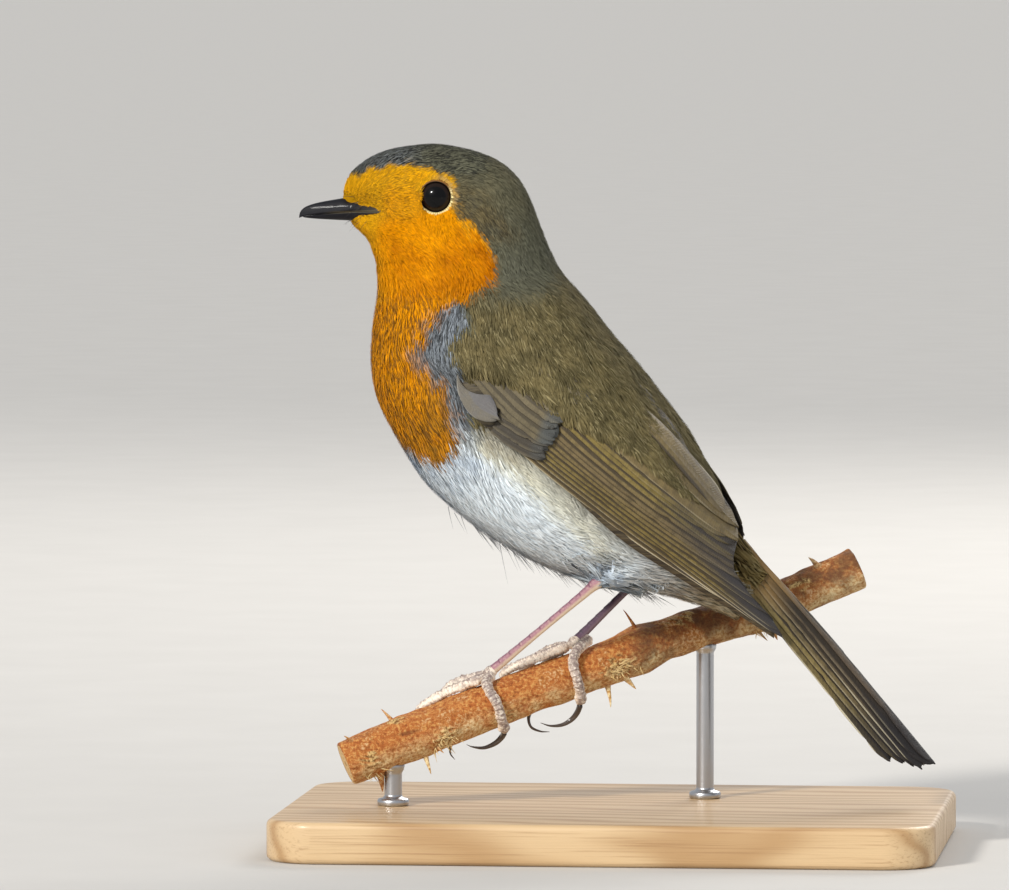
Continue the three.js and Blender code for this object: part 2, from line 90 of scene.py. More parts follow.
def shares(count):
    # 0 to 1 in even steps, as a column
    return np.linspace(0, 1, count)[:, None]


def circle(count):
    # turns in radians, evenly round
    return np.linspace(0, 2 * np.pi, count, endpoint=False)


def ripple(points, size, seed):
    # seven sine waves in seeded directions, wavelengths near size: lumps between about -1 and 1
    rng = np.random.default_rng(seed)
    total = 0
    for way in unit(rng.normal(size=(7, 3))):
        wave = 2 * np.pi / (size * rng.uniform(0.7, 1.5))
        total = total + np.sin(points @ way * wave + rng.uniform(0, 6.3))
    return total / 2.6


def curveThrough(points, count):
    # centripetal Catmull-Rom through points, count places evenly spaced along its length
    p = np.asarray(points, float)
    p = np.vstack([2 * p[0] - p[1], p, 2 * p[-1] - p[-2]])
    knots = np.concatenate([[0], np.cumsum(np.sqrt(np.linalg.norm(np.diff(p, axis=0), axis=1)))])
    fine = []
    for k in range(1, len(p) - 2):
        t = np.linspace(knots[k], knots[k + 1], 25)[:, None]
        between = lambda a, b, i, j: ((knots[j] - t) * a + (t - knots[i]) * b) / (knots[j] - knots[i])
        ab, bc, cd = (between(p[k + n - 1], p[k + n], k + n - 1, k + n) for n in (0, 1, 2))
        abc, bcd = between(ab, bc, k - 1, k + 1), between(bc, cd, k, k + 2)
        fine.append(between(abc, bcd, k, k + 1)[: 25 if k == len(p) - 3 else 24])
    fine = np.vstack(fine)
    run = np.concatenate([[0], np.cumsum(np.linalg.norm(np.diff(fine, axis=0), axis=1))])
    places = np.linspace(0, run[-1], count)
    return np.stack([np.interp(places, run, fine[:, n]) for n in range(3)], -1)


def gridFaces(rows, columns, around):
    # quads of a grid of points, the last column joined to the first when it goes around;
    # the second array is each corner's place on the grid as shares of the columns and rows
    wide = columns if around else columns - 1
    r, c = (a.ravel() for a in np.meshgrid(np.arange(rows - 1), np.arange(wide), indexing="ij"))
    rc = stacked(r, r, r + 1, r + 1), stacked(c, c + 1, c + 1, c)
    places = stacked(rc[1] / wide, rc[0] / (rows - 1))
    return rc[0] * columns + rc[1] % columns, places


def ringed(rings):
    # a closed skin over rings (rows, sides, 3): quads between rings, a fan from the middle of each end ring
    rows, sides = rings.shape[:2]
    quads, places = gridFaces(rows, sides, True)
    points = np.vstack([rings.reshape(-1, 3), rings[0].mean(0), rings[-1].mean(0)])
    a = np.arange(sides)
    b = (a + 1) % sides
    hub = np.full(sides, rows * sides)
    first = stacked(b, a, hub)
    final = stacked(a + (rows - 1) * sides, b + (rows - 1) * sides, hub + 1)
    fanPlaces = np.stack([stacked(a, a + 1, a + 0.5) / sides] * 2, -1)
    fanPlaces[..., 1] = 0
    ends = np.concatenate([fanPlaces[:, [1, 0, 2]], fanPlaces + [0, 1]])
    faces = [quads, np.vstack([first, final])]
    points, faces = outward(points, faces)
    return points, faces, [places, ends]


def outward(points, faces):
    # faces of a closed shape turned so that its volume, the sum of a . (b x c) / 6, is positive
    volume = 0
    for f in faces:
        for k in range(1, f.shape[1] - 1):
            a, b, c = (points[f[:, n]] for n in (0, k, k + 1))
            volume += (a * np.cross(b, c)).sum()
    return points, [f if volume > 0 else f[:, ::-1] for f in faces]


def makePiece(name, points, faces, finish, slot, uv=None, marks=None, nodes=(), flat=False):
    # a mesh from points in millimetres and arrays of faces; uv is one array of corner places for each
    # array of faces, or one place for each point, and marks are named colours of four numbers a point
    mesh = bpy.data.meshes.new(name)
    corners = np.concatenate([f.ravel() for f in faces]).astype(np.int32)
    counts = np.concatenate([np.full(len(f), f.shape[1]) for f in faces])
    mesh.vertices.add(len(points))
    mesh.vertices.foreach_set("co", (points * millimetre).astype(np.float32).ravel())
    mesh.loops.add(len(corners))
    mesh.loops.foreach_set("vertex_index", corners)
    mesh.polygons.add(len(counts))
    mesh.polygons.foreach_set("loop_start", (np.cumsum(counts) - counts).astype(np.int32))
    mesh.update(calc_edges=True)
    mesh.polygons.foreach_set("use_smooth", np.full(len(counts), not flat))
    if uv is not None:
        uv = uv[corners] if isinstance(uv, np.ndarray) else np.concatenate([u.reshape(-1, 2) for u in uv])
        mesh.uv_layers.new(name="OFBake").uv.foreach_set("vector", uv.astype(np.float32).ravel())
    for key, values in (marks or {}).items():
        made = mesh.attributes.new(key, "FLOAT_COLOR", "POINT")
        made.data.foreach_set("color", values.astype(np.float32).ravel())
    mesh.materials.append(finish)
    piece = bpy.data.objects.new(name, mesh)
    bpy.context.scene.collection.objects.link(piece)
    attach(piece, "root")
    if nodes:
        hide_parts(*nodes)
    return piece


# shader sums
def linear(colour):
    # a screen colour of 0 to 255 as the linear colour that a shader takes
    share = np.array(colour) / 255
    return (*np.where(share < 0.04, share / 12.92, ((share + 0.055) / 1.055) ** 2.4), 1)


class Wire:
    # a socket that adds, subtracts, multiplies and takes powers, with numbers or with other wires
    def __init__(self, finish, socket):
        self.finish, self.socket = finish, socket

    def __add__(self, other):
        return self.finish.sum("ADD", self, other)

    def __sub__(self, other):
        return self.finish.sum("SUBTRACT", self, other)

    def __rsub__(self, other):
        return self.finish.sum("SUBTRACT", other, self)

    def __mul__(self, other):
        return self.finish.sum("MULTIPLY", self, other)

    def __pow__(self, other):
        return self.finish.sum("POWER", self, other)

    __radd__, __rmul__ = __add__, __mul__

    def between(self, low, high):
        # 0 at low and 1 at high, kept inside
        settings = {"interpolation_type": "SMOOTHSTEP"}
        return self.finish.node("MapRange", settings, {"Value": self, "From Min": low, "From Max": high})


class Finish:
    # a material built from nodes
    def __init__(self, name):
        self.material = bpy.data.materials.new(name)
        self.material.use_nodes = True
        self.tree = self.material.node_tree
        self.tree.nodes.clear()

    def node(self, kind, settings, sockets, out=0):
        # kind is the node's type, settings its properties, sockets its values and links
        made = self.tree.nodes.new("ShaderNode" + kind)
        for key, value in settings.items():
            setattr(made, key, value)
        for key, value in sockets.items():
            if isinstance(value, Wire):
                self.tree.links.new(value.socket, made.inputs[key])
            else:
                made.inputs[key].default_value = value
        return Wire(self, made.outputs[out]) if made.outputs else None

    def sum(self, operation, *terms):
        return self.node("Math", {"operation": operation}, dict(enumerate(terms)))

    def blend(self, share, first, second, way="MIX"):
        # a colour between first and second, each a wire or a screen colour
        first, second = (linear(c) if isinstance(c, tuple) else c for c in (first, second))
        settings = {"data_type": "RGBA", "blend_type": way}
        return self.node("Mix", settings, {0: share, 6: first, 7: second}, 2)

    def layers(self, colour, *laid):
        # further colours laid over the first in turn, each as its share and the colour
        for share, over in laid:
            colour = self.blend(share, colour, over)
        return colour

    def shaded(self, colour, shade):
        # the colour times a number
        grey = self.node("CombineColor", {}, {0: shade, 1: shade, 2: shade})
        return self.blend(1.0, colour, grey, "MULTIPLY")

    def place(self, scale=(1, 1, 1), turn=(0, 0, 0)):
        # the object's own coordinates in millimetres times scale
        spot = self.node("TexCoord", {}, {}, "Object")
        sizes = tuple(s / millimetre for s in scale)
        return self.node("Mapping", {}, {"Vector": spot, "Rotation": turn, "Scale": sizes})

    def noise(self, where, size, detail=3.0, rough=0.55, twist=0.0):
        sockets = {"Vector": where, "Scale": 1 / size, "Detail": detail, "Roughness": rough}
        return self.node("TexNoise", {}, sockets | {"Distortion": twist}, "Fac")

    def attribute(self, name, out="Color"):
        return self.node("Attribute", {"attribute_name": name}, {}, out)

    def split(self, colour):
        made = self.node("SeparateColor", {}, {0: colour}, 0)
        return [Wire(self, s) for s in made.socket.node.outputs]

    def relief(self, height, depth):
        # a bump whose height of 1 stands depth millimetres proud
        return self.node("Bump", {}, {"Height": height, "Distance": depth * millimetre, "Strength": 1.0})

    def surface(self, colour, rough, relief=None, others=None):
        sockets = {"Base Color": colour, "Roughness": rough} | (others or {})
        if relief:
            sockets["Normal"] = relief
        shader = self.node("BsdfPrincipled", {}, sockets)
        self.node("OutputMaterial", {}, {"Surface": shader})
        return self.material


# camera, light and floor
studio = {
    "azimuth": 6.0,
    "elevation": 3.0,
    "middle": (-19.1, 68.0),  # of the picture, across and up in the camera's plane, in mm from the origin
    "width": 171.5,  # of the picture at the bird, in mm
    "distance": 1500.0,
    "floorRadius": 400.0,  # in metres
}


def placeCamera():
    camera = bpy.data.objects.new("camera", bpy.data.cameras.new("camera"))
    bpy.context.scene.collection.objects.link(camera)
    azimuth, elevation = (math.radians(studio[key]) for key in ("azimuth", "elevation"))
    right = Vector((math.cos(azimuth), math.sin(azimuth), 0))
    view = Vector((-math.sin(azimuth), math.cos(azimuth), 0)) * math.cos(elevation)
    view.z = -math.sin(elevation)
    up = right.cross(view)
    across, high = studio["middle"]
    target = (right * across + up * high) * millimetre
    turned = Matrix((right, up, -view)).transposed().to_4x4()
    camera.matrix_world = Matrix.Translation(target - view * studio["distance"] * millimetre) @ turned
    camera.data.sensor_width = 36
    camera.data.lens = 36 * studio["distance"] / studio["width"]
    camera.data.clip_start, camera.data.clip_end = 0.1, 900
    bpy.context.scene.camera = camera


def addLamp(name, kind, place, aim, power, colour, size):
    # a soft light at place, looking at aim, both in mm; size is its width in mm, or a sun's spread in degrees
    lamp = bpy.data.objects.new(name, bpy.data.lights.new(name, kind))
    bpy.context.scene.collection.objects.link(lamp)
    lamp.location = Vector(place) * millimetre
    lamp.rotation_euler = (Vector(aim) - Vector(place)).to_track_quat("-Z", "Y").to_euler()
    if kind == "SUN":
        lamp.data.angle = math.radians(size)
    else:
        lamp.data.size = size * millimetre
    lamp.data.energy, lamp.data.color = power, colour
    lamp.visible_glossy = "fill" not in name


def floorFinish():
    paint = Finish("floor_paper")
    cloud = paint.noise(paint.place(), 25, 3)
    return paint.surface(paint.blend(cloud, (196, 193, 188), (204, 201, 196)), 0.9)


def layFloor():
    turn = circle(96)
    radius = studio["floorRadius"] / millimetre
    rim = stacked(np.cos(turn) * radius, np.sin(turn) * radius, 0 * turn)
    mesh = bpy.data.meshes.new("floor")
    mesh.from_pydata((rim * millimetre).tolist(), [], [list(range(96))])
    mesh.materials.append(floorFinish())
    floor = bpy.data.objects.new("floor", mesh)
    bpy.context.scene.collection.objects.link(floor)


placeCamera()
layFloor()
addLamp("key_light", "SUN", (-590, -870, 620), (0, 0, 0), 2.95, (1.0, 0.97, 0.92), 9)
addLamp("fill_light", "AREA", (900, -900, 300), (0, 0, 70), 5, (0.92, 0.96, 1.0), 900)
addLamp("rim_light", "AREA", (350, 900, 700), (0, 0, 70), 6, (1.0, 0.97, 0.93), 500)
world = bpy.data.worlds.new("studio")
world.use_nodes = True
world.node_tree.nodes["Background"].inputs["Color"].default_value = linear((226, 230, 236))
world.node_tree.nodes["Background"].inputs["Strength"].default_value = 0.66
bpy.context.scene.world = world
bpy.context.scene.view_settings.view_transform = "Standard"
report("camera, lights and floor")

# Flat ovals from the crown to the root of the tail: front point, back point, half width,
# share at which they are widest and how pointed the front is.
body = {
    "front": [
        (-30.6, 119.6), (-39.4, 118.3), (-44.5, 115.4), (-46.9, 112.3), (-47.4, 109.4), (-45.6, 105.6),
        (-43, 102.8), (-41.7, 99.1), (-41.2, 94.4), (-42, 88.4), (-42.3, 82.4), (-41.3, 76),
        (-38.2, 69.4), (-33.2, 61.7), (-26.2, 55.3), (-18.2, 50), (-8.8, 45.6), (0.5, 43.7),
        (8.2, 42.2), (15, 40.3), (20.4, 38.2),
    ],
    "back": [
        (-30.4, 119.6), (-23, 117.8), (-18.4, 115.3), (-15.3, 111.5), (-13.6, 107.3), (-12.1, 103.5),
        (-10.9, 100.8), (-9.4, 97.9), (-6.6, 94), (-2.9, 89.6), (1.4, 84.8), (4.9, 79.7),
        (8, 74.8), (11, 69.5), (13.6, 64.8), (15.8, 60.7), (17.8, 57.3), (19.7, 54.6),
        (21.8, 52.2), (23.8, 49.8), (26, 46.8),
    ],
    "half": [
        0.02, 4.4, 7.2, 8.8, 9.6, 10, 10.6, 11.8, 13.6, 15.6, 17.2, 18.2,
        18.6, 18.3, 17.3, 15.6, 13.2, 10.6, 8.2, 6.3, 4.8,
    ],
    "widest": [0.5, 0.52, 0.55, 0.58, 0.6, 0.6, 0.58, 0.56, 0.54, 0.5] + [0.48] * 6 + [0.5] * 5,
    "point": [0.5, 0.56, 0.6, 0.68, 0.74, 0.7, 0.62, 0.55] + [0.5] * 13,
    "thighs": [
        [(5.5, -8.6, 50.5), (2.2, -8.4, 47.2), (-0.8, -8, 45.2), (-3.4, -7.6, 43.9)],
        [(12, 7.6, 54), (8.6, 8.2, 50), (5.4, 8.2, 46.9), (3.2, 7.6, 44.9)],
    ],
    "thighRadius": 3.1,
    # the coat is laid on rings that fan round the head from the bill: middle x, z and degrees from upright
    "headRings": [
        (-46.9, 109.1, 9), (-46, 109.1, 14), (-42.9, 109.3, 27), (-38.5, 109.8, 41), (-34, 109.8, 52.7),
        (-30, 108.4, 63), (-27.6, 105, 74.5), (-26.4, 101.2, 86),
    ],
    "firstTrunk": 7,  # the oval that follows the last of the head's rings
    "billBase": (-45.5, 0.0, 108.4),
    "gape": 107.75,  # height of the mouth line where it ends in the face
    "pinch": 0.42,  # how far the face narrows beside the bill
    "eye": (-30.0, 5.75, 110.25),  # middle of the left eyeball
    "eyeRadius": 3.5,
}
fronts, backs = np.array(body["front"]), np.array(body["back"])
lastOval = len(fronts) - 1


def squaredHalf(x, z):
    # the square of the body's half width at x, z, less than 0 outside its outline: finds the oval through
    # the place by halving, then W^2 (1 - reach^2)^(2 point), reach being the share of the way to the rim
    low, high = np.zeros(x.shape), np.full(x.shape, float(lastOval))
    for _ in range(20):
        t = (low + high) / 2
        front, way = along(fronts, t), along(backs, t) - along(fronts, t)
        above = way[..., 0] * (z - front[..., 1]) > way[..., 1] * (x - front[..., 0])
        low, high = np.where(above, low, t), np.where(above, t, high)
    share = (way[..., 0] * (x - front[..., 0]) + way[..., 1] * (z - front[..., 1])) / (way**2).sum(-1)
    widest, point = along(body["widest"], t), along(body["point"], t)
    reach = np.where(share < widest, (widest - share) / widest, (share - widest) / (1 - widest))
    inside = np.maximum(1 - reach**2, 0) ** np.where(share < widest, 2 * point, 1)
    return along(body["half"], t) ** 2 * np.where(reach < 1, inside, np.maximum(1 - reach**2, -4))


def sampled(table, row, column, around=False):
    # the table's values between its whole rows and columns, in straight lines
    rows, columns = table.shape[:2]
    row = np.clip(row, 0, rows - 1.001)
    column = column % columns if around else np.clip(column, 0, columns - 1.001)
    r, c = np.floor(row).astype(int), np.floor(column).astype(int)
    c %= columns
    shape = row.shape + (1,) * (table.ndim - 2)
    fr, fc = (row - r).reshape(shape), (column - np.floor(column)).reshape(shape)
    after = (c + 1) % columns
    upper = table[r, c] * (1 - fc) + table[r, after] * fc
    lower = table[r + 1, c] * (1 - fc) + table[r + 1, after] * fc
    return upper * (1 - fr) + lower * fr


def blurred(table, passes):
    # each value mixed with its neighbours, the columns joined around
    for _ in range(passes):
        table = (2 * table + np.roll(table, 1, 1) + np.roll(table, -1, 1)) / 4
        padded = np.concatenate([table[:1], table, table[-1:]])
        table = (2 * table + padded[:-2] + padded[2:]) / 4
    return table


def bodyOutline(rows, columns, raised=None):
    # points and outward normals of the body on rings that fan back from the bill, where each ring's
    # column 0 is the back and the half way column the throat and belly; rings are found along rays.
    # raised gives the squared half width and share of what lies over the body at x, z
    middles = np.array([ring[:2] for ring in body["headRings"]])
    tilts = np.array([ring[2] for ring in body["headRings"]])
    trunk = np.arange(body["firstTrunk"], lastOval + 1)
    way = backs[trunk] - fronts[trunk]
    middles = np.vstack([middles, (fronts[trunk] + backs[trunk]) / 2])
    tilts = np.concatenate([tilts, np.degrees(np.arctan2(way[:, 0], way[:, 1]))])
    s = np.linspace(0, len(tilts) - 1, rows)
    middle, tilt = along(middles, s), np.radians(along(tilts, s))
    turn = circle(columns)
    up = stacked(np.sin(tilt), 0 * tilt, np.cos(tilt))[:, None] * np.cos(turn)[None, :, None]
    ray = up + np.sin(turn)[None, :, None] * np.array([0, -1, 0])
    centre = stacked(middle[:, 0], 0 * s, middle[:, 1])[:, None]
    step = 0.25
    x, z = np.arange(-60, 40, step), np.arange(30, 128, step)
    spread = np.meshgrid(x, z, indexing="ij")
    table = squaredHalf(*spread)
    if raised:
        over, share = raised(*spread)
        table = np.maximum(table, -25) * (1 - share) + np.maximum(table, over) * share

    def outside(reach):
        spot = centre + ray * reach[..., None]
        return sampled(table, (spot[..., 0] - x[0]) / step, (spot[..., 2] - z[0]) / step) < spot[..., 1] ** 2

    low = np.zeros((rows, columns))
    going = np.ones((rows, columns), bool)
    for _ in range(80):
        going &= ~outside(low + 0.5)
        low += 0.5 * going
    high = low + 0.5
    for _ in range(12):
        half = (low + high) / 2
        out = outside(half)
        low, high = np.where(out, low, half), np.where(out, half, high)
    reach = blurred(low, 10)
    for line in body["thighs"]:
        for share in np.linspace(0, 1, 22):
            ball = along(line, 3 * share) - centre
            radius = body["thighRadius"] * (1 - 0.52 * share)
            near = dot(ball, ray)[..., 0]
            inside = near**2 - (ball**2).sum(-1) + radius**2
            leaving = np.where(inside > 0, near + np.sqrt(np.maximum(inside, 0)), 0)
            reach = np.maximum(reach, leaving)
    reach = blurred(reach, 14)
    points = centre + ray * reach[..., None]
    x, z = points[..., 0], points[..., 2]
    points[..., 1] *= 1 - body["pinch"] * smooth(-37, -44, x) * bump(108.4, 2.6, z)
    return points, normalsOf(points, True), s


def normalsOf(points, around):
    # the cross product of the steps along the columns and the rows
    if around:
        across = np.roll(points, -1, 1) - np.roll(points, 1, 1)
    else:
        across = np.gradient(points, axis=1)
    return unit(np.cross(across, np.gradient(points, axis=0)))


outlineRows, outlineColumns = 420, 256
outline, outlineNormals, outlineRings = bodyOutline(outlineRows, outlineColumns)
report("outline of the body")

# The orange bib from the forehead over the eye and down to the breast, as x, z on the left side.
bib = [
    (-62, 113.6), (-44.3, 113.8), (-41.8, 114.9), (-38, 115.7), (-34.3, 116), (-30.2, 114.9),
    (-27.1, 113.6), (-26.4, 111), (-26.2, 108.6), (-23.8, 105.4), (-20.6, 102.3), (-19.2, 98.7),
    (-20.2, 95.3), (-24, 93.1), (-27.2, 92), (-30, 88.4), (-32.6, 84), (-30.4, 81.6),
    (-28.2, 78.6), (-26.4, 73.5), (-25.8, 69), (-27.4, 65.9), (-30.4, 65.2), (-33.6, 66.4),
    (-37.5, 67.2), (-62, 67.2),
]


def depthInside(loop, x, z):
    # how far x, z lies inside a closed loop, negative outside it: distance to its edge, signed by
    # counting the edges that a line to the right crosses
    start = np.array(loop)
    end = np.roll(start, -1, axis=0)
    spot = stacked(x, z)[..., None, :]
    way = end - start
    share = np.clip(((spot - start) * way).sum(-1) / (way**2).sum(-1), 0, 1)
    gap = lengthOf(spot - start - share[..., None] * way)[..., 0].min(-1)
    low, high = start[:, 1] > z[..., None], end[:, 1] > z[..., None]
    at = start[:, 0] + (z[..., None] - start[:, 1]) / np.where(way[:, 1] == 0, 1e-9, way[:, 1]) * way[:, 0]
    inside = ((low != high) & (x[..., None] < at)).sum(-1) % 2 == 1
    return np.where(inside, gap, -gap)


def markings(points, belly):
    # shares of orange, yellow, slate to blue-grey and white, then of buff, shaft streaks, cool painted shade
    # (and the grey of the near thigh) and dull brown, partly painted shade; belly is 0 on the back and 1 on
    # the underside
    x, z = points[..., 0], points[..., 2]
    fine = ripple(points, 0.9, 6)
    ragged = 1 - 0.5 * smooth(103, 111, z)
    frayed = 0.5 * ripple(points, 2.6, 3) + 0.3 * ripple(points, 1.1, 4) + 0.3 * fine
    inside = depthInside(bib, x, z) + ragged * frayed
    face = lengthOf(points - body["billBase"])[..., 0]
    eye = np.hypot(x - body["eye"][0], z - body["eye"][2])
    edge = 0.45 + 0.5 * smooth(100, 80, z)
    # the blue-grey patch between bib and wing, and where its colour runs into the bib
    patch = smooth(5.2, 3.6, -inside) * smooth(96, 91, z) * smooth(66, 71, z)
    patch = patch * smooth(-20.5, -24, x + 0.35 * (z - 86) * (z > 86))
    mixed = smooth(3.4, 0.8, inside) * smooth(-1, 0, inside) * smooth(74, 79, z) * smooth(93, 89, z)
    mixed = mixed * smooth(0, 0.3, ripple(points, 1.7, 12))
    # a pale rim of small feathers above and behind the eye
    above = (z - body["eye"][2]) + 0.5 * (x - body["eye"][0])
    rim = smooth(4.1, 3.2, eye) * smooth(-0.8, 0.6, above) * (z > 100)
    orange = smooth(-edge, edge, inside) * (1 - 0.6 * mixed)
    lore = smooth(5.5, 2.5, np.hypot((x + 37.5) / 1.6, z - 110.0))
    # the term taken off behind and below the eye makes the cheek there deeper orange: painted shade
    yellow = (
        smooth(10, 3, face) * 0.6 + 0.5 * smooth(110, 115, z) + 0.55 * smooth(-37, -42, x) * (z > 92)
        + 0.5 * smooth(1.5, 0, inside) * smooth(98, 104, z) + rim + 0.2 * smooth(12, 5, eye)
        + 0.3 * lore + 0.1 * smooth(96, 90, z) + 0.1 - 0.1 * smooth(-32, -25, x) * smooth(92, 95, z)
    )
    crown = smooth(112.6, 115, z) * smooth(-17, -24, x) * (0.48 + 0.2 * smooth(-29, -37, x))
    # bluer behind the cheek and down the side of the neck
    bluer = smooth(0.5, 2, -inside) * smooth(12, 5, -inside) * smooth(110, 99, z)
    head = (0.3 + 0.24 * bluer) * smooth(90, 97, z) * smooth(-4, -12, x)
    blue = np.maximum(np.maximum(crown, head), np.maximum(patch, mixed))
    low = smooth(73, 66, z + 0.5 * ripple(points, 5, 9)) * belly
    low = low * (1 - smooth(18.5, 21, x) * smooth(41, 43, z))
    wingFar = -depthInside(wingLoop, x, z) + 0.6 * ripple(points, 4, 31)
    # cool painted shade: bluish under the bib and along the middle of the underside
    coolShade = smooth(8, 3, -inside) * 0.6 + smooth(9, 4, np.abs(points[..., 1])) * smooth(4, -12, x)
    buff = smooth(6.5, 2, wingFar) * smooth(-30, -20, x) * smooth(6, -6, x) * 0.6 + smooth(8, 20, x) * 0.6
    buff = low * np.clip(buff, 0, 1) + rim
    # darker and streaked along the middle of the underside: painted shade, with streaks of its own
    under = low * smooth(10, 4.5, np.abs(points[..., 1])) * smooth(8, -2, x)
    # dull brown just under the wing's lower edge: painted shade under the wing
    bend = low * smooth(4.5, 1, wingFar) * smooth(-11, -17, x)
    ear = smooth(6, 3, -inside) * smooth(1.5, -0.5, inside) * smooth(101, 105, z) * smooth(114, 110, z)
    # dull brown under the wings and tail: painted shade; the vent's own buff is in buff
    vent = 0.7 * low * smooth(2, 13, x + 0.4 * fine)
    thigh = low * smooth(5, 2.5, np.hypot(x + 1, z - 46.5))
    # the orange is duller low on the breast: painted shade; the ear and the lore are darker in their own
    # colour
    dull = (
        0.36 * orange * smooth(84, 69, z) * smooth(-38, -30, x) + 0.15 * orange * smooth(100, 84, z)
        + vent + 0.4 * ear + 0.22 * orange * smooth(4.5, 1, inside) * smooth(88, 76, z)
        + 0.6 * bend + 0.05 * under + 0.1 * lore * orange + 0.55 * smooth(19.5, 22.5, x) * (1 - low)
    )
    # dark shaft streaks, some of them laid in the painted cool shade on the belly
    streaks = (
        crown * (1.4 - orange) + 0.35 * head + 0.6 * patch + 0.3 * coolShade * low + 0.45 * ear
        + 0.2 * under + 0.22 * lore + 0.5 * thigh
    )
    # the rim is palest behind the eye
    behind = smooth(-2, 2.5, x - body["eye"][0])
    white = np.maximum(low * (1 - orange), (0.2 + 0.4 * behind) * rim)
    one = stacked(np.maximum(orange, 0.8 * rim) * (1 - 0.5 * rim * behind), yellow, blue, white)
    two = stacked(buff, streaks, 0.9 * coolShade * low + 0.8 * thigh, dull)
    return np.clip(one, 0, 1), np.clip(two, 0, 1)


def bellyShare(turnShare, ring):
    # 0 on the back half of the ring, 1 on the front half below the neck
    away = np.abs(turnShare - 0.5) * 2
    return smooth(0.62, 0.36, away) * smooth(7, 10, ring)


plumage = {
    "orange": (224, 145, 0),
    "orangeDeep": (182, 104, 0),
    "yellow": (226, 166, 16),
    "slate": (98, 97, 80),
    "blueGrey": (122, 128, 133),
    "white": (221, 230, 236),
    # the bluish colour of the painted cool shade on the white
    "coolShade": (158, 174, 192),
    "buff": (214, 203, 152),
    "dull": (108, 86, 42),
    "olive": (118, 106, 72),
    "oliveDark": (90, 82, 56),
    "tips": (158, 146, 108),  # of scattered paler strands on the back
    "shaft": (38, 38, 38),
    "frost": (150, 158, 168),  # of scattered paler strands in the blue-grey
    "roughness": 0.8,
    "sheen": 0.01,
}


def plumageFinish(name, strands):
    # the markings laid in turn over the olive of the back; strands lighter towards their tips: painted shade
    coat = Finish(name)
    where = coat.place()
    orange, yellow, blue = coat.split(coat.attribute("marksOne"))
    buff, streaks, shadeAndThighGrey = coat.split(coat.attribute("marksTwo"))
    tone, up, kind = coat.split(coat.attribute("strand"))
    white, dull = coat.attribute("marksOne", "Alpha"), coat.attribute("marksTwo", "Alpha")
    lumps = coat.noise(where, 3.2, 2)
    # the white turns bluish in the painted cool shade and on the near thigh
    pale = coat.blend(shadeAndThighGrey * (0.35 + 0.65 * lumps.between(0.4, 0.6)), plumage["white"], plumage["coolShade"])
    warm = coat.blend(yellow.between(0, 0.3) + 1.4 * lumps - 0.45, plumage["orangeDeep"], plumage["orange"])
    colour = coat.layers(
        plumage["oliveDark"],
        (lumps.between(0.3, 0.75), plumage["olive"]),
        (kind.between(0.7, 0.95) * 0.45, plumage["tips"]),
        (blue.between(0.05, 0.45), plumage["slate"]),
        (blue.between(0.5, 0.9), plumage["blueGrey"]),
        (blue.between(0.54, 0.8) * kind.between(0.3, 0.1) * 0.5, plumage["frost"]),
        (white, coat.blend(buff, pale, plumage["buff"])),
        (orange, coat.blend(yellow.between(0.2, 1), warm, plumage["yellow"])),
        (dull * (0.5 + 0.5 * lumps.between(0.35, 0.6)), plumage["dull"]),
        (streaks * kind.between(0.5, 0.62), plumage["shaft"]),
    )
    if strands:
        # painted shade deep in the coat: each strand darker towards its root
        shade, relief = (0.42 + 0.58 * up.between(0, 0.55)) * (0.66 + 0.62 * tone), None
    else:
        # painted shade on the skin under the coat, lighter near the eyes where the skin shows
        shade = 0.4 + 0.25 * coat.noise(where, 0.5, 3) + 0.4 * tone
        relief = coat.relief(coat.noise(where, 0.6, 4), 0.12)
    gloss = {"Sheen Weight": plumage["sheen"], "Sheen Roughness": 0.5, "Specular IOR Level": 0.04}
    return coat.surface(coat.shaded(colour, shade), plumage["roughness"], relief, gloss)


# The outside of the folded wing: lower edge, middle and upper edge from the bend at the shoulder to the
# tip, as x, distance from the plane of symmetry and z, and how far in the wing reaches.
wing = {
    "lower": [
        (-24.5, 17.5, 76.5), (-21.7, 18.3, 72.6), (-16.2, 19, 68.6), (-8.5, 18.8, 62.4),
        (1.4, 16, 52.8), (12.4, 11.5, 45.2), (20.9, 9, 39.9), (29, 7.5, 34.7),
    ],
    "middle": [
        (-24.7, 18, 79.9), (-21.3, 19.6, 81.2), (-12, 19.5, 80.2), (-2.6, 18.6, 72),
        (7.6, 15.8, 62.6), (16.3, 11.8, 53), (22.2, 9.7, 45.8), (29.1, 7.7, 35.3),
    ],
    "upper": [
        (-24.4, 17.4, 83.3), (-20.6, 16.9, 89.3), (-9.1, 12.9, 90.3), (2.5, 8.4, 81),
        (12.5, 3.8, 71.8), (19.2, 2.6, 60.1), (22.8, 3.4, 52.4), (29.1, 7.4, 35.8),
    ],
    "depth": [3, 5, 6, 6, 5, 3, 1.8, 1],
    "lift": 1.6,  # the least that the wing stands off the body
}
# where the back and the folded wings end behind, as z and x
backLine = np.array([
    (30, 31.2), (34.5, 29.8), (39.4, 27), (43.6, 23.2), (47.6, 20.6), (49.7, 20.4), (52.4, 21),
    (54.1, 21), (57.4, 19.7), (60.2, 18), (63.1, 16.4), (67.3, 13.9), (70.6, 12.3), (73.1, 10.3),
    (77.7, 6.9), (82.1, 3.5), (87.6, -1.3), (92.7, -5), (98.1, -9.2),
])


def pastBack(x, z, spare=0.0):
    # how far x lies behind the line of the back
    return np.maximum(x + spare - np.interp(z, *backLine.T), 0)


wingLoop = [(p[0], p[2]) for p in wing["lower"] + wing["upper"][::-1]]
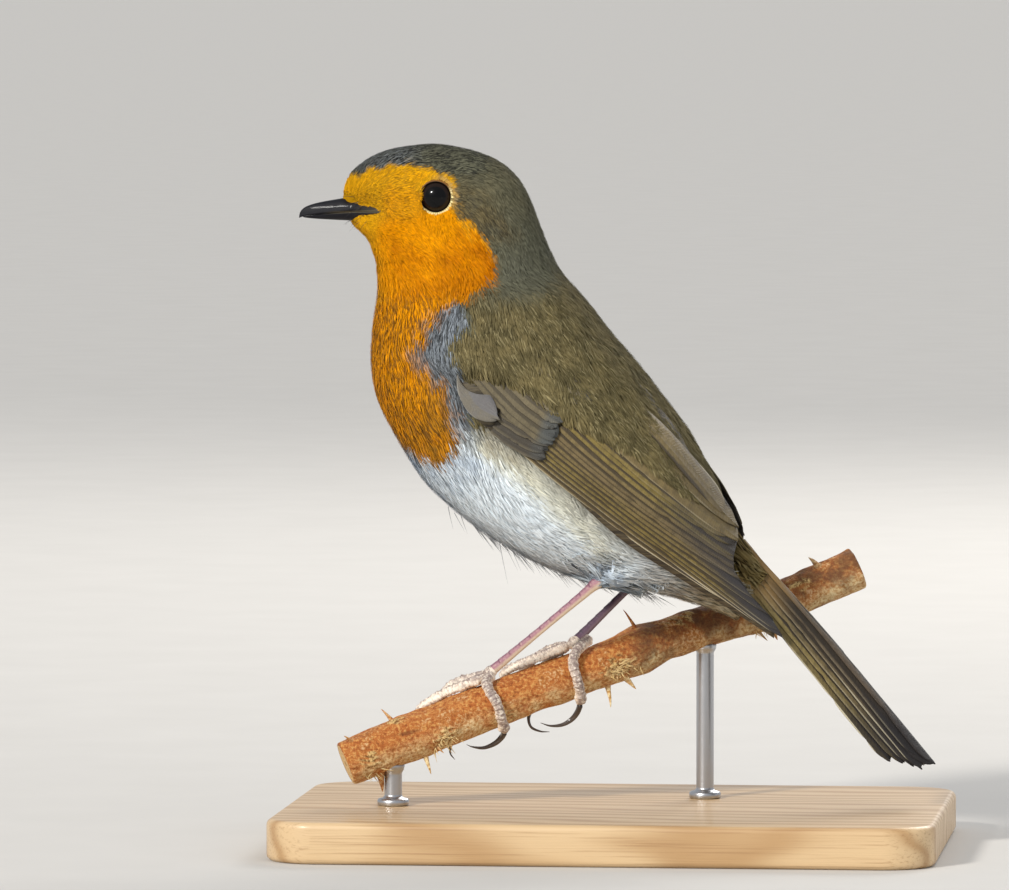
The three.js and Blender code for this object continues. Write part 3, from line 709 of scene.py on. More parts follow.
# the part of the wing that the feathers of the back cover, and how far down they would reach under it
shawl = [
    (-26.4, 84.4), (-22.3, 83.1), (-18, 82), (-14.5, 80.2), (-7.7, 75.5), (-2.7, 73.2), (5.5, 67.8),
    (11, 62.6), (14.6, 60.4), (17.5, 63), (13.5, 72), (3, 82.5), (-9, 92), (-21, 91),
    (-26, 87),
]


def wingGrid(rows, columns, end=7):
    # a parabola through the lower edge, middle and upper edge at each place along the wing, and no
    # nearer to the body than the lift; the second value is the body's half width there
    t = np.linspace(0, end, rows)[:, None]
    a = np.linspace(0, 1, columns)[None, :, None]
    low, middle, high = (along(wing[key], t) for key in ("lower", "middle", "upper"))
    points = (1 - a) * (1 - 2 * a) * low + 4 * a * (1 - a) * middle + a * (2 * a - 1) * high
    bodyHalf = np.sqrt(np.maximum(squaredHalf(points[..., 0], points[..., 2]), 0))
    points[..., 1] = np.maximum(points[..., 1], bodyHalf + wing["lift"])
    return points, bodyHalf


wingStep = 0.5
wingX, wingZ = np.arange(-34, 36, wingStep), np.arange(28, 98, wingStep)


def wingDepths(reach=1.8):
    # how far out the wing's outside lies over a grid of x, z: the plane that best fits the wing's points
    # round the place, each counting as a bell of its distance
    spots = wingGrid(48, 16)[0].reshape(-1, 3)
    flat = np.stack(np.meshgrid(wingX, wingZ, indexing="ij"), -1).reshape(-1, 2)
    depth = np.empty(len(flat))
    for part in np.array_split(np.arange(len(flat)), 8):
        off = spots[None, :, ::2] - flat[part, None]
        gap = (off**2).sum(-1)
        share = np.exp((gap.min(1, keepdims=True) - gap) / (2 * reach**2))
        basis = np.concatenate([np.ones_like(off[..., :1]), off], -1)
        weighed = (basis * share[..., None]).transpose(0, 2, 1)
        fit = np.linalg.solve(weighed @ basis + 1e-3 * np.eye(3), (weighed @ spots[:, 1])[..., None])
        depth[part] = fit[:, 0, 0]
    return depth.reshape(len(wingX), len(wingZ))


wingTable = wingDepths()


def overWing(x, z):
    # the wing's outside at x, z as the distance from the plane of symmetry, and its normal on the left
    row, column = (x - wingX[0]) / wingStep, (z - wingZ[0]) / wingStep
    at = lambda r, c: sampled(wingTable, row + r, column + c)
    slope = [at(-1, 0) - at(1, 0), -2 * wingStep + 0 * x, at(0, -1) - at(0, 1)]
    return at(0, 0), unit(np.stack(slope, -1))


def shawlOverWing(x, z):
    # what the feathers of the back lie on: the wing under them, fading out past their edge
    inside = depthInside(shawl, x, z)
    near = inside > -6
    over = np.zeros(x.shape)
    rounding = np.clip(0.21 * (np.interp(z, *backLine.T) + 0.3 - x), 0, 1)
    over[near] = (overWing(x[near], z[near])[0] + 1.35) ** 2
    over *= 1 - (1 - rounding) ** 2
    return over, smooth(-5.5, -1.5, inside)


coatOutline, coatNormals, _ = bodyOutline(outlineRows, outlineColumns, shawlOverWing)
report("outline with the wings")

# the lie of the coat
coatLook = {
    "face": 1.1,  # lengths of the tufts
    "cheek": 2.6,
    "back": 4.0,
    "breast": 3.6,
    "belly": 5.2,
    "vent": 6.5,
    "eyeClear": 2.8,  # no tuft stands nearer to the eye's middle than this
    "tuftsPerMm2": 3.9,  # on the trunk; more where they are shorter
    "blades": 7,
    "patchHalf": 0.0015,  # of a tuft's patch on the map
    "facesPerPiece": 199_000,
}


def eyeGap(points):
    # the distance from the axis of the nearer eye, which points sideways and a little forward
    eye = np.array(body["eye"])
    off = stacked(points[..., 0], np.abs(points[..., 1]), points[..., 2]) - eye
    return lengthOf(off[..., [0, 2]])[..., 0], off


def coatLength(points, belly, ring):
    # short round the bill and the eyes, longest on the belly and under the tail
    face = lengthOf(points - body["billBase"])[..., 0]
    length = coatLook["face"] + (coatLook["cheek"] - coatLook["face"]) * smooth(5, 22, face)
    trunk = coatLook["back"] + (coatLook["breast"] - coatLook["back"]) * smooth(0, 0.4, belly)
    trunk += (coatLook["belly"] - trunk) * belly * smooth(11.5, 14, ring)
    trunk += (coatLook["vent"] - trunk) * smooth(16, 19, ring)
    length = length + (trunk - length) * smooth(6, 11, ring)
    return length * (0.45 + 0.55 * smooth(3, 7, eyeGap(points)[0]))


def coatDepth(length):
    # how far the skin lies under the tips
    return 0.12 + 0.26 * length


ringIndex = outlineRings[:, None] + 0 * outline[..., 0]
turnIndex = np.linspace(0, 1, outlineColumns, endpoint=False)[None] + 0 * outline[..., 0]
outlineBelly = bellyShare(turnIndex, ringIndex)
skinDepth = coatDepth(coatLength(outline, outlineBelly, ringIndex))
skinPoints = outline - outlineNormals * skinDepth[..., None]


def addSkin():
    # every second ring of the outline sunk by the coat's depth, with a socket behind each eye
    rows = np.append(np.arange(0, outlineRows - 1, 2), outlineRows - 1)
    points, over = skinPoints[rows], outline[rows]
    gap, _ = eyeGap(points)
    sunk = 4.2 * smooth(3.0, 1.9, gap) * (np.abs(points[..., 1]) > 4)
    points[..., 1] -= np.sign(points[..., 1]) * sunk
    shut, faces, places = ringed(points)
    one, two = markings(np.vstack([over.reshape(-1, 3), over[0].mean(0), over[-1].mean(0)]),
                        np.append(outlineBelly[rows].ravel(), [0, 0]))
    strand = np.full((len(one), 4), 0.5)
    # the skin's painted shade is lifted near the eyes
    strand[:, 0] = np.append(smooth(5.5, 3.6, gap).ravel(), [0, 0])
    marks = {"marksOne": one, "marksTwo": two, "strand": strand}
    flesh = ("head", "neck", "trunk", "thigh_left", "thigh_right")
    makePiece("skin", shut, faces, plumageFinish("skin_markings", False), "plumage", places, marks, flesh)


bladeSteps = (0, 0.42, 0.78, 1.0)
bladeNodes = np.array([0, 0, 1, 1, 2, 2, 3])  # the step of each of a blade's seven vertices


def bladePattern(blades):
    # one tuft: for each vertex its place along the blade, its side and its share of the width, and the faces
    steps = np.array(bladeSteps)[bladeNodes]
    sides = np.array([-1, 1, -1, 1, -1, 1, 0])
    widths = np.array([0.6, 0.6, 1, 1, 0.62, 0.62, 0])
    faces = np.array([[0, 1, 3], [0, 3, 2], [2, 3, 5], [2, 5, 4], [4, 5, 6]])
    faces = (faces[None] + 7 * np.arange(blades)[:, None, None]).reshape(-1, 3)
    return np.tile(steps, blades), np.tile(sides, blades), np.tile(widths, blades), faces


def stepsOver(surface, spot, way):
    # on a grid surface at spot (row, column): the normal, the way turned into the surface, and how many
    # rows and columns one millimetre along the way and one aside from it are
    points, normals, around = surface
    at = lambda r, c: sampled(points, spot[..., 0] + r, spot[..., 1] + c, around)
    down, over = at(0.5, 0) - at(-0.5, 0), at(0, 0.5) - at(0, -0.5)
    normal = unit(sampled(normals, spot[..., 0], spot[..., 1], around))
    way = unit(way - normal * dot(way, normal))
    aside = np.cross(normal, way)
    dd, do, oo = dot(down, down), dot(down, over), dot(over, over)
    scale = np.maximum(dd * oo - do**2, 1e-6)
    rows = lambda v: oo * dot(down, v) - do * dot(over, v)
    columns = lambda v: dd * dot(over, v) - do * dot(down, v)
    step = lambda v: np.concatenate([rows(v), columns(v)], -1)
    return way, step(way) / scale, step(aside) / scale


def layTufts(name, surface, roots, way, look, unwrap, seed, finish):
    # Tufts of thin blades walk over a surface (its points, normals and whether it closes around) from
    # their roots (row, column). A blade leaves the root to one side, then runs along the way:
    # along = L s, aside = L spread (1 - (1 - s)^2), height = H (1 - (1 - s)^2) less a droop at the tip.
    points, normals, around = surface
    rng = np.random.default_rng(seed)
    count, blades = len(roots), look["blades"]
    steps, sides, widths, faces = bladePattern(blades)
    longest = look["length"][:, None]
    spot, walked, goes, leans = roots, 0, [], []
    paths = []
    for share in bladeSteps:
        way, go, lean = stepsOver(surface, spot, way)
        if share > walked:
            spot = spot + go * longest * (share - walked)
            way, go, lean = stepsOver(surface, spot, way)
        walked = share
        paths.append(spot)
        goes.append(go)
        leans.append(lean)
    node = np.tile(bladeNodes, blades)
    paths, goes, leans = (np.stack(v, 1)[:, node] for v in (paths, goes, leans))
    each = lambda low, high: rng.uniform(low, high, (count, blades))
    perVertex = lambda v: np.repeat(v, 7, axis=1)
    fan = np.linspace(-1, 1, blades)[None] + each(-0.35, 0.35)
    longer = perVertex(each(-0.38, 0.1)) * steps + perVertex(each(-0.12, 0.12))
    tone = rng.uniform(0, 1, (count, 1)) * 0.6 + each(0, 0.4)
    width = look["width"][:, None]
    side = perVertex(fan * look["spread"] * longest) * (1 - (1 - steps) ** 2)
    side = side + perVertex(fan * width * 0.8) + sides * widths * width / 2
    high = look["height"][:, None] * each(0.55, 1.15)
    rise = perVertex(high) * (1 - (1 - steps) ** 2 - 0.22 * steps**3) - 0.06
    rise = rise - perVertex(high * 0.25 * fan**2)
    at = paths + (longer * longest)[..., None] * goes + side[..., None] * leans
    out = unit(sampled(normals, at[..., 0], at[..., 1], around))
    foot = sampled(points, roots[:, 0], roots[:, 1], around)[:, None]
    made = sampled(points, at[..., 0], at[..., 1], around) - foot
    reach = lengthOf(made)
    made = made * np.minimum(1, 1.3 * longest[..., None] / np.maximum(reach, 1e-6))
    made = foot + made + out * rise[..., None]
    share = stacked(perVertex(tone), steps + 0 * rise, perVertex(each(0, 1)), 1 + 0 * rise)
    patch = stacked(sides * (0.3 + 0.7 * widths) + 0 * rise, 2 * steps - 1 + 0 * rise)
    places = unwrap[:, None] + patch * coatLook["patchHalf"]
    repeat = lambda v: np.repeat(v, 7 * blades, axis=0)
    marks = {"marksOne": repeat(look["marks"][0]), "marksTwo": repeat(look["marks"][1])}
    marks["strand"] = share.reshape(-1, 4)
    every = (faces[None] + 7 * blades * np.arange(count)[:, None, None]).reshape(-1, 3)
    return makePiece(name, made.reshape(-1, 3), [every], finish, "plumage", places.reshape(-1, 2), marks)


def scatter(points, density, around, seed):
    # rows and columns of seeded places on a grid surface, density of them a square millimetre
    rng = np.random.default_rng(seed)
    down = np.diff(points, axis=0)
    right = np.roll(points, -1, 1) - points if around else np.diff(points, axis=1)
    rows, columns = len(points) - 1, right.shape[1]
    area = lengthOf(np.cross(down[:rows, :columns], right[:rows]))[..., 0]
    share = np.cumsum((area * density[:rows, :columns]).ravel())
    count = int(share[-1])
    cell = np.searchsorted(share, (np.arange(count) + rng.uniform(0, 1, count)))
    cell = cell[cell < share.size]
    row, column = (place + rng.uniform(0, 1, len(cell)) for place in divmod(cell, columns))
    return stacked(row, column)


def bodyWay(points, row):
    # away from the bill on the head, then along the middle of the body, turned aside by the eyes
    middle = outline.mean(1)
    axis = unit(sampled(np.gradient(middle, axis=0)[:, None], row, 0 * row))
    off = points - body["billBase"]
    reach = lengthOf(off)
    way = unit(off) * (1 - smooth(10, 30, reach)) + axis * smooth(6, 26, reach)
    gap, eyeOff = eyeGap(points)
    eyeOff = unit(eyeOff * np.array([1, 0, 1]))
    way = unit(way)
    way = way + eyeOff * (0.9 * smooth(6.5, 3, gap) * (np.abs(points[..., 1]) > 4))[..., None]
    return unit(way)


def addCoat():
    # tufts over the whole body, parted from bill to tail into pieces
    length = coatLength(coatOutline, outlineBelly, ringIndex)
    gap = eyeGap(coatOutline)[0]
    x, y, z = (coatOutline[..., n] for n in range(3))
    density = coatLook["tuftsPerMm2"] * (coatLook["back"] / length) ** 0.85
    density = density * (gap > coatLook["eyeClear"])
    inBill = (np.abs(y) < 2.1) & (z > 106.2) & (z < 110.1) & (x < -42.6)
    inBill = inBill | ((np.abs(z - body["gape"] - 0.05 * (x + 42)) < 0.42) & (x < -40.2))
    hidden = (depthInside(wingLoop, x, z) > 2.2) & (depthInside(shawl, x, z) < 0) & (np.abs(y) > 3)
    density = density * ~inBill * ~hidden
    density[:2] = density[-4:] = 0
    roots = scatter(coatOutline, density, True, 11)
    roots = roots[np.argsort(roots[:, 0], kind="stable")]
    spot = sampled(coatOutline, *roots.T, True)
    ring = sampled(ringIndex, *roots.T)
    share = roots[:, 1] / outlineColumns
    belly = bellyShare(share, ring)
    length = coatLength(spot, belly, ring)
    way = bodyWay(spot, roots[:, 0])
    normal = unit(sampled(coatNormals, *roots.T, True))
    sway = 0.2 * ripple(spot, 7, 21) + 0.14 * ripple(spot, 2.2, 22)
    way = unit(way - normal * dot(way, normal)) + np.cross(normal, way) * sway[:, None]
    # a tuft has the colour of the place that its outer half covers
    one, two = markings(spot + way * (0.6 * length)[:, None], belly)
    names = ["face", "cheeks", "crown", "nape", "breast", "mantle", "flanks", "belly", "vent"]
    pieces = max(len(names), math.ceil(len(roots) * 5 * coatLook["blades"] / coatLook["facesPerPiece"]))
    flesh = coatOutline - coatNormals * coatDepth(coatLength(coatOutline, outlineBelly, ringIndex))[..., None]
    surface = (flesh, normalsOf(flesh, True), True)
    finish = plumageFinish("coat_markings", True)
    for n, part in enumerate(np.array_split(np.arange(len(roots)), pieces)):
        look = {
            "blades": coatLook["blades"],
            "length": length[part],
            "width": 0.07 + 0.042 * length[part],
            "height": coatDepth(length[part]),
            "spread": 0.2,
            "marks": (one[part], two[part]),
        }
        lowest, highest = roots[part[0], 0], roots[part[-1], 0]
        rows = 0.004 + 0.992 * (roots[part, 0] - lowest) / (highest - lowest)
        unwrap = stacked(0.004 + 0.992 * share[part] % 1, rows)
        name = "coat_" + (names[n] if n < len(names) else f"extra_{n}")
        layTufts(name, surface, roots[part], way[part], look, unwrap, 100 + n, finish)
    report(f"{len(roots)} tufts on the body in {pieces} pieces")


addSkin()
report("skin")
addCoat()

# long feathers of the wings and the tail
featherRows = 46
vaneThick = 0.13
acrossShares = np.array([0, 0.06, 0.16, 0.27, 0.3, 0.33, 0.52, 0.78, 1.0])
featherPaint = {
    "gold": (134, 116, 60),
    "brown": (116, 100, 72),
    "inner": (58, 50, 37),
    "slate": (58, 56, 58),
    "pale": (205, 196, 168),
    "blueTip": (76, 80, 84),
    "roughness": 0.55,
}
webUnit, tipUnit = 5, 60  # mm that a mark of 1 stands for, across and along a feather


def featherFinish(name, look):
    # web holds the way from the outer edge and from the tip in their units, a number for each feather and
    # the web's width; tint holds shares of gold, pale edge, blue-grey tip and dark end
    paint = Finish(name)
    out, back, each = paint.split(paint.attribute("web"))
    gold, edge, tip = paint.split(paint.attribute("tint"))
    wide, dark = paint.attribute("web", "Alpha") * webUnit, paint.attribute("tint", "Alpha")
    across, toTip = out * webUnit, back * tipUnit
    where = paint.place()
    grain, fine = paint.noise(where, 1.1, 3), paint.noise(where, 0.22, 2)
    ragged = across + 0.18 * grain
    web = paint.layers(look["brown"], (gold, look["gold"]), (grain.between(0.35, 0.75) * 0.45, look["inner"]))
    laid = [
        (grain * 0.35, look["brown"]),
        ((wide - ragged).between(-0.12, 0.16), web),
        (dark * (18 - toTip).between(0, 11) * 0.9, look["slate"]),
        (tip * (3.4 - toTip).between(0, 1.8), look["blueTip"]),
    ]
    if "base" in look:
        laid.append(((toTip - 32).between(0, 9) * (0.4 + 0.6 * grain), look["base"]))
    line = (0.2 - across).between(0, 0.12) * (0.35 + 0.65 * (26 - toTip).between(0, 10))
    colour = paint.layers(look["inner"], *laid, (line * edge, look["pale"]))
    barb = paint.sum("SINE", (toTip + paint.sum("ABSOLUTE", across - 1.2) * 1.3) * 16 + grain * 7)
    colour = paint.shaded(colour, 0.82 + 0.1 * barb + 0.3 * fine + 0.22 * (each - 0.5))
    relief = paint.relief(barb * 0.5 + fine, 0.05)
    gloss = {"Specular IOR Level": 0.25, "Sheen Weight": 0.05}
    return paint.surface(colour, look["roughness"], relief, gloss)


# Each group: outer edges as places at their start, middle and tip on a flat map (x, z for the wing),
# count, width of the vane, length of the rounded tip, height of the first and last above the surface,
# width of the coloured web and shares of gold, pale edge, blue-grey tip and dark end.
wingFeathers = {
    "primaries": {
        "edges": [
            [(-17.1, 69.9), (5.5, 51.7), (21.7, 40.8)],
            [(-16.6, 70.2), (5.6, 52.6), (27.2, 36.7)],
            [(-15.9, 70.6), (5.6, 53.5), (29.3, 34.8)],
            [(-15.1, 70.9), (5.6, 54.3), (29.2, 35.8)],
            [(-14.5, 71.3), (5.7, 55.2), (28, 38.5)],
            [(-13.4, 71.6), (5.7, 56.1), (26.4, 41)],
            [(-12.4, 72), (5.7, 56.9), (24.8, 43.4)],
        ],
        "count": 7, "width": 3.6, "round": 7, "lift": (0.0, 0.25), "web": (0.46, 0.58),
        "tint": [(0.2, 1.6, 0, 1), (0.85, 0.45, 0, 1), (0.75, 0.2, 0, 1), (0.35, 0.1, 0, 1)],
    },
    "secondaries": {
        "edges": [
            [(-9.6, 70.6), (5.7, 57.8), (22.6, 45.4)],
            [(-5.7, 73.7), (5.7, 62.9), (19.4, 52.2)],
        ],
        "count": 6, "width": 4.2, "round": 3.4, "lift": (0.35, 0.6), "web": (0.62, 0.7),
        "tint": [(0.15, 0.1, 0, 0.7), (0.2, 0.05, 0, 0.7), (1.0, 0.1, 0, 0.7), (0.8, 0.1, 0, 0.6)],
    },
    "tertials": {
        "edges": [
            [(-5.2, 74.7), (5.7, 64.2), (20.2, 51.6)],
            [(-3.4, 76.2), (7.4, 66.2), (19.6, 53.8)],
        ],
        "count": 2, "width": 3.6, "round": 7.0, "lift": (0.6, 0.75), "web": (2.4, 2.4),
        "tint": [(0.3, 0.2, 0, 0.2)] * 2,
    },
    "innermost": {
        "edges": [[(-0.6, 77.2), (8.4, 68.0), (17.9, 56.4)]] * 2,
        "count": 1, "width": 2.7, "round": 6.0, "lift": (0.85, 0.85), "web": (2.6, 2.6),
        "tint": [(0.3, 0.4, 0, 0.35)] * 2, "flip": True,
    },
}
coverts = {
    "primary": {
        "edges": [
            [(-19.6, 71.2), (-15.4, 68.2), (-10.9, 66)],
            [(-18.2, 74.2), (-13.9, 71.6), (-9.1, 69.8)],
        ],
        "count": 4, "width": 2.6, "round": 2.0, "lift": (0.55, 0.7), "web": (0.5, 0.5),
        "tint": [(0.0, 0.1, 0.35, 0.5), (0.3, 0.05, 0.5, 0.3)],
    },
    "greater": {
        "edges": [
            [(-23.9, 81.4), (-16.9, 73.9), (-9.6, 68.2)],
            [(-17, 80.2), (-12.6, 76), (-8.1, 72.8)],
            [(-10.3, 80.8), (-6.9, 78), (-3.6, 75.3)],
        ],
        "count": 8, "width": 3.6, "round": 2.4, "lift": (0.8, 0.95), "web": (0.85, 0.95),
        "tint": [(0.1, 0.05, 0.85, 0), (0.25, 0.05, 0.2, 0)],
    },
    "median": {
        "edges": [
            [(-25.2, 86), (-23.6, 83.6), (-21.9, 81.2)],
            [(-14.5, 84), (-12, 81.7), (-9.6, 79.6)],
        ],
        "count": 7, "width": 3.2, "round": 2.2, "lift": (0.95, 1.0), "web": (1.4, 1.4),
        "tint": [(0.2, 0, 0, 0)] * 2,
    },
}
alula = {
    "feathers": {
        "edges": [[(-25.3, 81.2), (-23.7, 75.4), (-18.9, 71.7)]] * 2,
        "count": 1, "width": 4.4, "round": 5.4, "lift": (1.3, 1.3), "web": (1.9, 1.9), "start": 0.06,
        "tint": [(0, 0.5, 0, 0)] * 2,
    },
}
covertPaint = featherPaint | {
    "brown": (112, 102, 80), "gold": (120, 108, 74), "inner": (76, 69, 56), "blueTip": (84, 88, 88),
}
alulaPaint = featherPaint | {"brown": (116, 110, 98), "inner": (111, 109, 110), "pale": (160, 157, 150)}


def featherStack(group, surface, seed):
    # Feathers side by side: the outer edge is a parabola through its three places, the vane reaches
    # inward from it by width, its rounded tip following q = (1 - 0.985 (1 - toTip / round)^2)^(1/2).
    # The height is the group's lift, more along the outer edge, so that each lies on the one outside it.
    rng = np.random.default_rng(seed)
    keys = len(group["edges"])
    edges = along(group["edges"], np.linspace(0, keys - 1, group["count"]))
    count = len(edges)
    jitter = lambda size, *shape: rng.uniform(-size, size, (count,) + shape)
    edges[:, 2] += jitter(0.35, 2)
    t = (1 - (1 - np.linspace(0, 1, featherRows)) ** 1.5)[None, :, None]
    start, middle, tip = (edges[:, None, n] for n in range(3))
    line = (1 - t) * (1 - 2 * t) * start + 4 * t * (1 - t) * middle + t * (2 * t - 1) * tip
    way = unit(np.gradient(line, axis=1))
    inward = stacked(-way[..., 1], way[..., 0])[:, :, None]
    step = lengthOf(np.diff(line, axis=1))[..., 0]
    toTip = np.pad(step[:, ::-1].cumsum(1)[:, ::-1], ((0, 0), (0, 1)))[..., None]
    q = np.sqrt(1 - 0.985 * np.clip(1 - toTip / group["round"], 0, 1) ** 2)
    thin = group.get("start", 0.55)
    width = group["width"] * (thin + (1 - thin) * smooth(0, 0.8 - 0.9 * thin, t)) * (1 + jitter(0.08, 1, 1))
    wave = 0.05 * np.sin(t * rng.uniform(9, 22, (count, 1, 1)) + jitter(3, 1, 1))
    for _ in range(2):
        deep = rng.uniform(0.05, 0.28, (count, 1, 1))
        wave = wave + deep * bump(rng.uniform(0.3, 1, (count, 1, 1)), 0.02, t)
    low, high = 0.3 * (1 - q) * width + wave, (0.3 + 0.7 * q) * width
    aside = low + (high - low) * acrossShares
    flat = line[:, :, None] + inward * aside[..., None]
    ragged = rng.uniform(-0.5, 0.5, (count, 1, len(acrossShares))) * (1 - smooth(0, 2.5, toTip))
    flat = flat + way[:, :, None] * ragged[..., None]
    lift = np.linspace(*group["lift"], count)[:, None, None]
    rise = lift * (0.1 + 0.9 * smooth(0, 0.5, t)) + 0.34 * (1 - smooth(0, 1.8, aside))
    rise = rise + 0.14 * np.sin(np.pi * acrossShares) + 0.06 * bump(0.3, 0.02, acrossShares)
    points, normals = surface(flat)
    top = points + normals * rise[..., None]
    rings = np.concatenate([top, (top - normals * vaneThick)[:, :, ::-1]], 2)
    full = np.ones(aside.shape)
    each = rng.uniform(0, 1, (count, 1, 1)) * full
    spread = np.linspace(0, 1, count)
    wide = (group["web"][0] + (group["web"][1] - group["web"][0]) * spread)[:, None, None]
    shown = high - aside if group.get("flip") else aside
    web = stacked(shown / webUnit, toTip / tipUnit * full, each, full * wide / webUnit)
    tint = full[..., None] * along(group["tint"], spread * (len(group["tint"]) - 1))[:, None, None]
    if group.get("flip"):
        tint[..., 1] *= smooth(10, 7.5, toTip) * smooth(1, 3, toTip)
    both = lambda v: np.concatenate([v, v[:, :, ::-1]], 2)
    return rings, both(web), both(tint)


def layFeathers(name, groups, surface, mirrored, seed, slot, finish, nodes=()):
    # closed slabs for all the groups, each on its own strip of the map
    stacks = [featherStack(group, surface, seed + n) for n, group in enumerate(groups.values())]
    rings, web, tint = (np.concatenate(v) for v in zip(*stacks))
    if mirrored:
        rings = rings * np.array([1, -1, 1])
    count, sides = len(rings), rings.shape[2]
    _, faces, places = ringed(rings[0])
    whole = lambda v: np.concatenate([v.reshape(count, -1, v.shape[-1]), v[:, [0, -1]].mean(2)], 1)
    points = whole(rings)
    shift = np.arange(count)[:, None, None] * points.shape[1]
    faces = [(f[None] + shift).reshape(-1, f.shape[1]) for f in faces]
    # the top of a feather takes most of its strip
    spread = np.interp(np.arange(sides + 1), [0, sides / 2 - 1, sides / 2, sides], [0.03, 0.75, 0.78, 0.97])
    strips = []
    for p in places:
        u = np.interp(p[..., 0] * sides, np.arange(sides + 1), spread)
        u = (np.arange(count)[:, None, None] + u[None]) / count
        strips.append(stacked(u, np.broadcast_to(0.01 + 0.98 * p[None, ..., 1], u.shape)))
    marks = {"web": whole(web).reshape(-1, 4), "tint": whole(tint).reshape(-1, 4)}
    return makePiece(name, points.reshape(-1, 3), faces, finish, slot, strips, marks, nodes)


def wingSurface(flat):
    # x, z laid on the outside of the left wing, a little under it, and pressed in behind the back's line
    x, z = flat[..., 0], flat[..., 1]
    x = x - 0.94 * pastBack(x, z)
    depth, normal = overWing(x, z)
    return stacked(x, -depth, z) - normal * 0.6, normal


def coreFinish():
    # the brown inside of the folded wing, with the lie of hidden vanes
    paint = Finish("wing_inside")
    lie = (0, math.radians(-42), 0)
    lines = paint.noise(paint.place((0.25, 2.5, 2.5), lie), 1.2, 3)
    colour = paint.blend(lines.between(0.35, 0.65), (52, 46, 38), (92, 82, 62))
    relief = paint.relief(lines + paint.noise(paint.place(turn=lie), 0.5, 2) * 0.4, 0.15)
    return paint.surface(colour, 0.7, relief)


def addWingCore(name, mirrored, node, finish):
    # the folded wing's inside: a closed plate between the parabola sections, sunk under the feathers
    rows, columns = 56, 18
    outside, bodyHalf = wingGrid(rows, columns, 6.7)
    share = np.linspace(0, 1, columns)[None]
    depth = along(wing["depth"], np.linspace(0, 6.7, rows))[:, None]
    edge = np.minimum(1, 5 * np.minimum(share, 1 - share) + 0.35)
    inner = outside[..., 1] - edge * depth
    inner = np.minimum(np.maximum(inner, bodyHalf + 0.55), outside[..., 1] - 0.9)
    shell = outside.copy()
    shell[..., 1] = outside[..., 1] - 0.78
    middle = shell.mean(1, keepdims=True)
    shell = middle + (shell - middle) * np.array([0.95, 1, 0.95])
    shell[..., 0] -= pastBack(shell[..., 0], shell[..., 2], 1.2)
    inside = shell.copy()
    inside[..., 1] = np.minimum(inner, shell[..., 1] - 0.12)
    rings = np.concatenate([shell, inside[:, ::-1]], 1) * np.array([1, 1 if mirrored else -1, 1])
    points, faces, places = ringed(rings)
    makePiece(name, points, faces, finish, "wing_feathers", places, nodes=(node,))


core = coreFinish()
# groups of the wing with the finish of their vanes and how far their seeds lie from the wing's
wingLayers = (
    ("flight_feathers", wingFeathers, featherFinish("wing_vanes", featherPaint), 0),
    ("wing_coverts", coverts, featherFinish("covert_vanes", covertPaint), 20),
    ("alula", alula, featherFinish("alula_vanes", alulaPaint), 30),
)
for side, mirrored in (("left", False), ("right", True)):
    seed = 300 + 40 * mirrored
    addWingCore(f"wing_core_{side}", mirrored, f"wing_{side}", core)
    for name, groups, finish, more in wingLayers:
        layFeathers(f"{name}_{side}", groups, wingSurface, mirrored, seed + more, "wing_feathers", finish)
report("wings")

# A closed roof: its ridge starts at x, z and runs down by the slope, its eaves hang below the ridge.
tail = {
    "ridgeStart": (21.4, 52.7),
    "slope": math.radians(50.2),
    "rootHalf": 4.2,
    "tipHalf": 6.8,
    "rootDrop": 5.4,
    "tipDrop": 5.4,
    "rootAt": 5,  # mm along the ridge where the root's measures hold
    "length": 46.8,  # mm from there to where the tip's hold
    "flatHalf": 6.4,  # half width of the unrolled roof
    # feathers from the outermost in: outer edge on the unrolled roof as its start and end in mm from the
    # ridge's start and share of the way out to the eaves, then web and shares of gold, pale edge, dark end
    "feathers": [
        (1.5, 44.6, -1, 0.95, 0.75, 0.9, 0.9), (1.5, 46.6, -0.86, 0.75, 0.9, 0.1, 0.85),
        (1.2, 48.4, -0.72, 0.8, 0.45, 0.3, 1), (1, 49.4, -0.57, 0.55, 0.2, 0.5, 1),
        (0.8, 47.3, -0.42, 0.5, 0.1, 0.15, 1), (0.5, 50.2, -0.2, 1.1, 0, 0, 1),
    ],
}


def tailSurface(flat):
    # far along the ridge and share across, the eaves at 1: y = share half, drop share^1.25
    far, share = flat[..., 0], flat[..., 1] / tail["flatHalf"]
    down = (far - tail["rootAt"]) / tail["length"]
    half = tail["rootHalf"] + (tail["tipHalf"] - tail["rootHalf"]) * down
    drop = tail["rootDrop"] + (tail["tipDrop"] - tail["rootDrop"]) * down
    low = drop * np.abs(share) ** 1.25 + 0.3
    run = math.cos(tail["slope"]), -math.sin(tail["slope"])
    fall = run[1], -run[0]
    x = tail["ridgeStart"][0] + run[0] * far + fall[0] * low
    z = tail["ridgeStart"][1] + run[1] * far + fall[1] * low
    lean = 1.25 * drop / half * np.abs(share) ** 0.25 * np.sign(share)
    return stacked(x, share * half, z), unit(stacked(-fall[0], lean, -fall[1]))


def tailGroups():
    # six feathers a side, the outermost lowest, each tip a little longer or shorter than the next
    groups = {}
    for n, (start, end, share, wide, gold, edge, dark) in enumerate(tail["feathers"]):
        groups[n] = {
            "edges": [[(start, share * 5.9), ((start + end) / 2, share * 6.2), (end, share * 6.3)]] * 2,
            "count": 1, "width": 4.2, "round": 4.5, "lift": (0.16 * n, 0.16 * n), "web": (wide, wide),
            "tint": [(gold, edge, 0, dark)] * 2,
        }
    return groups


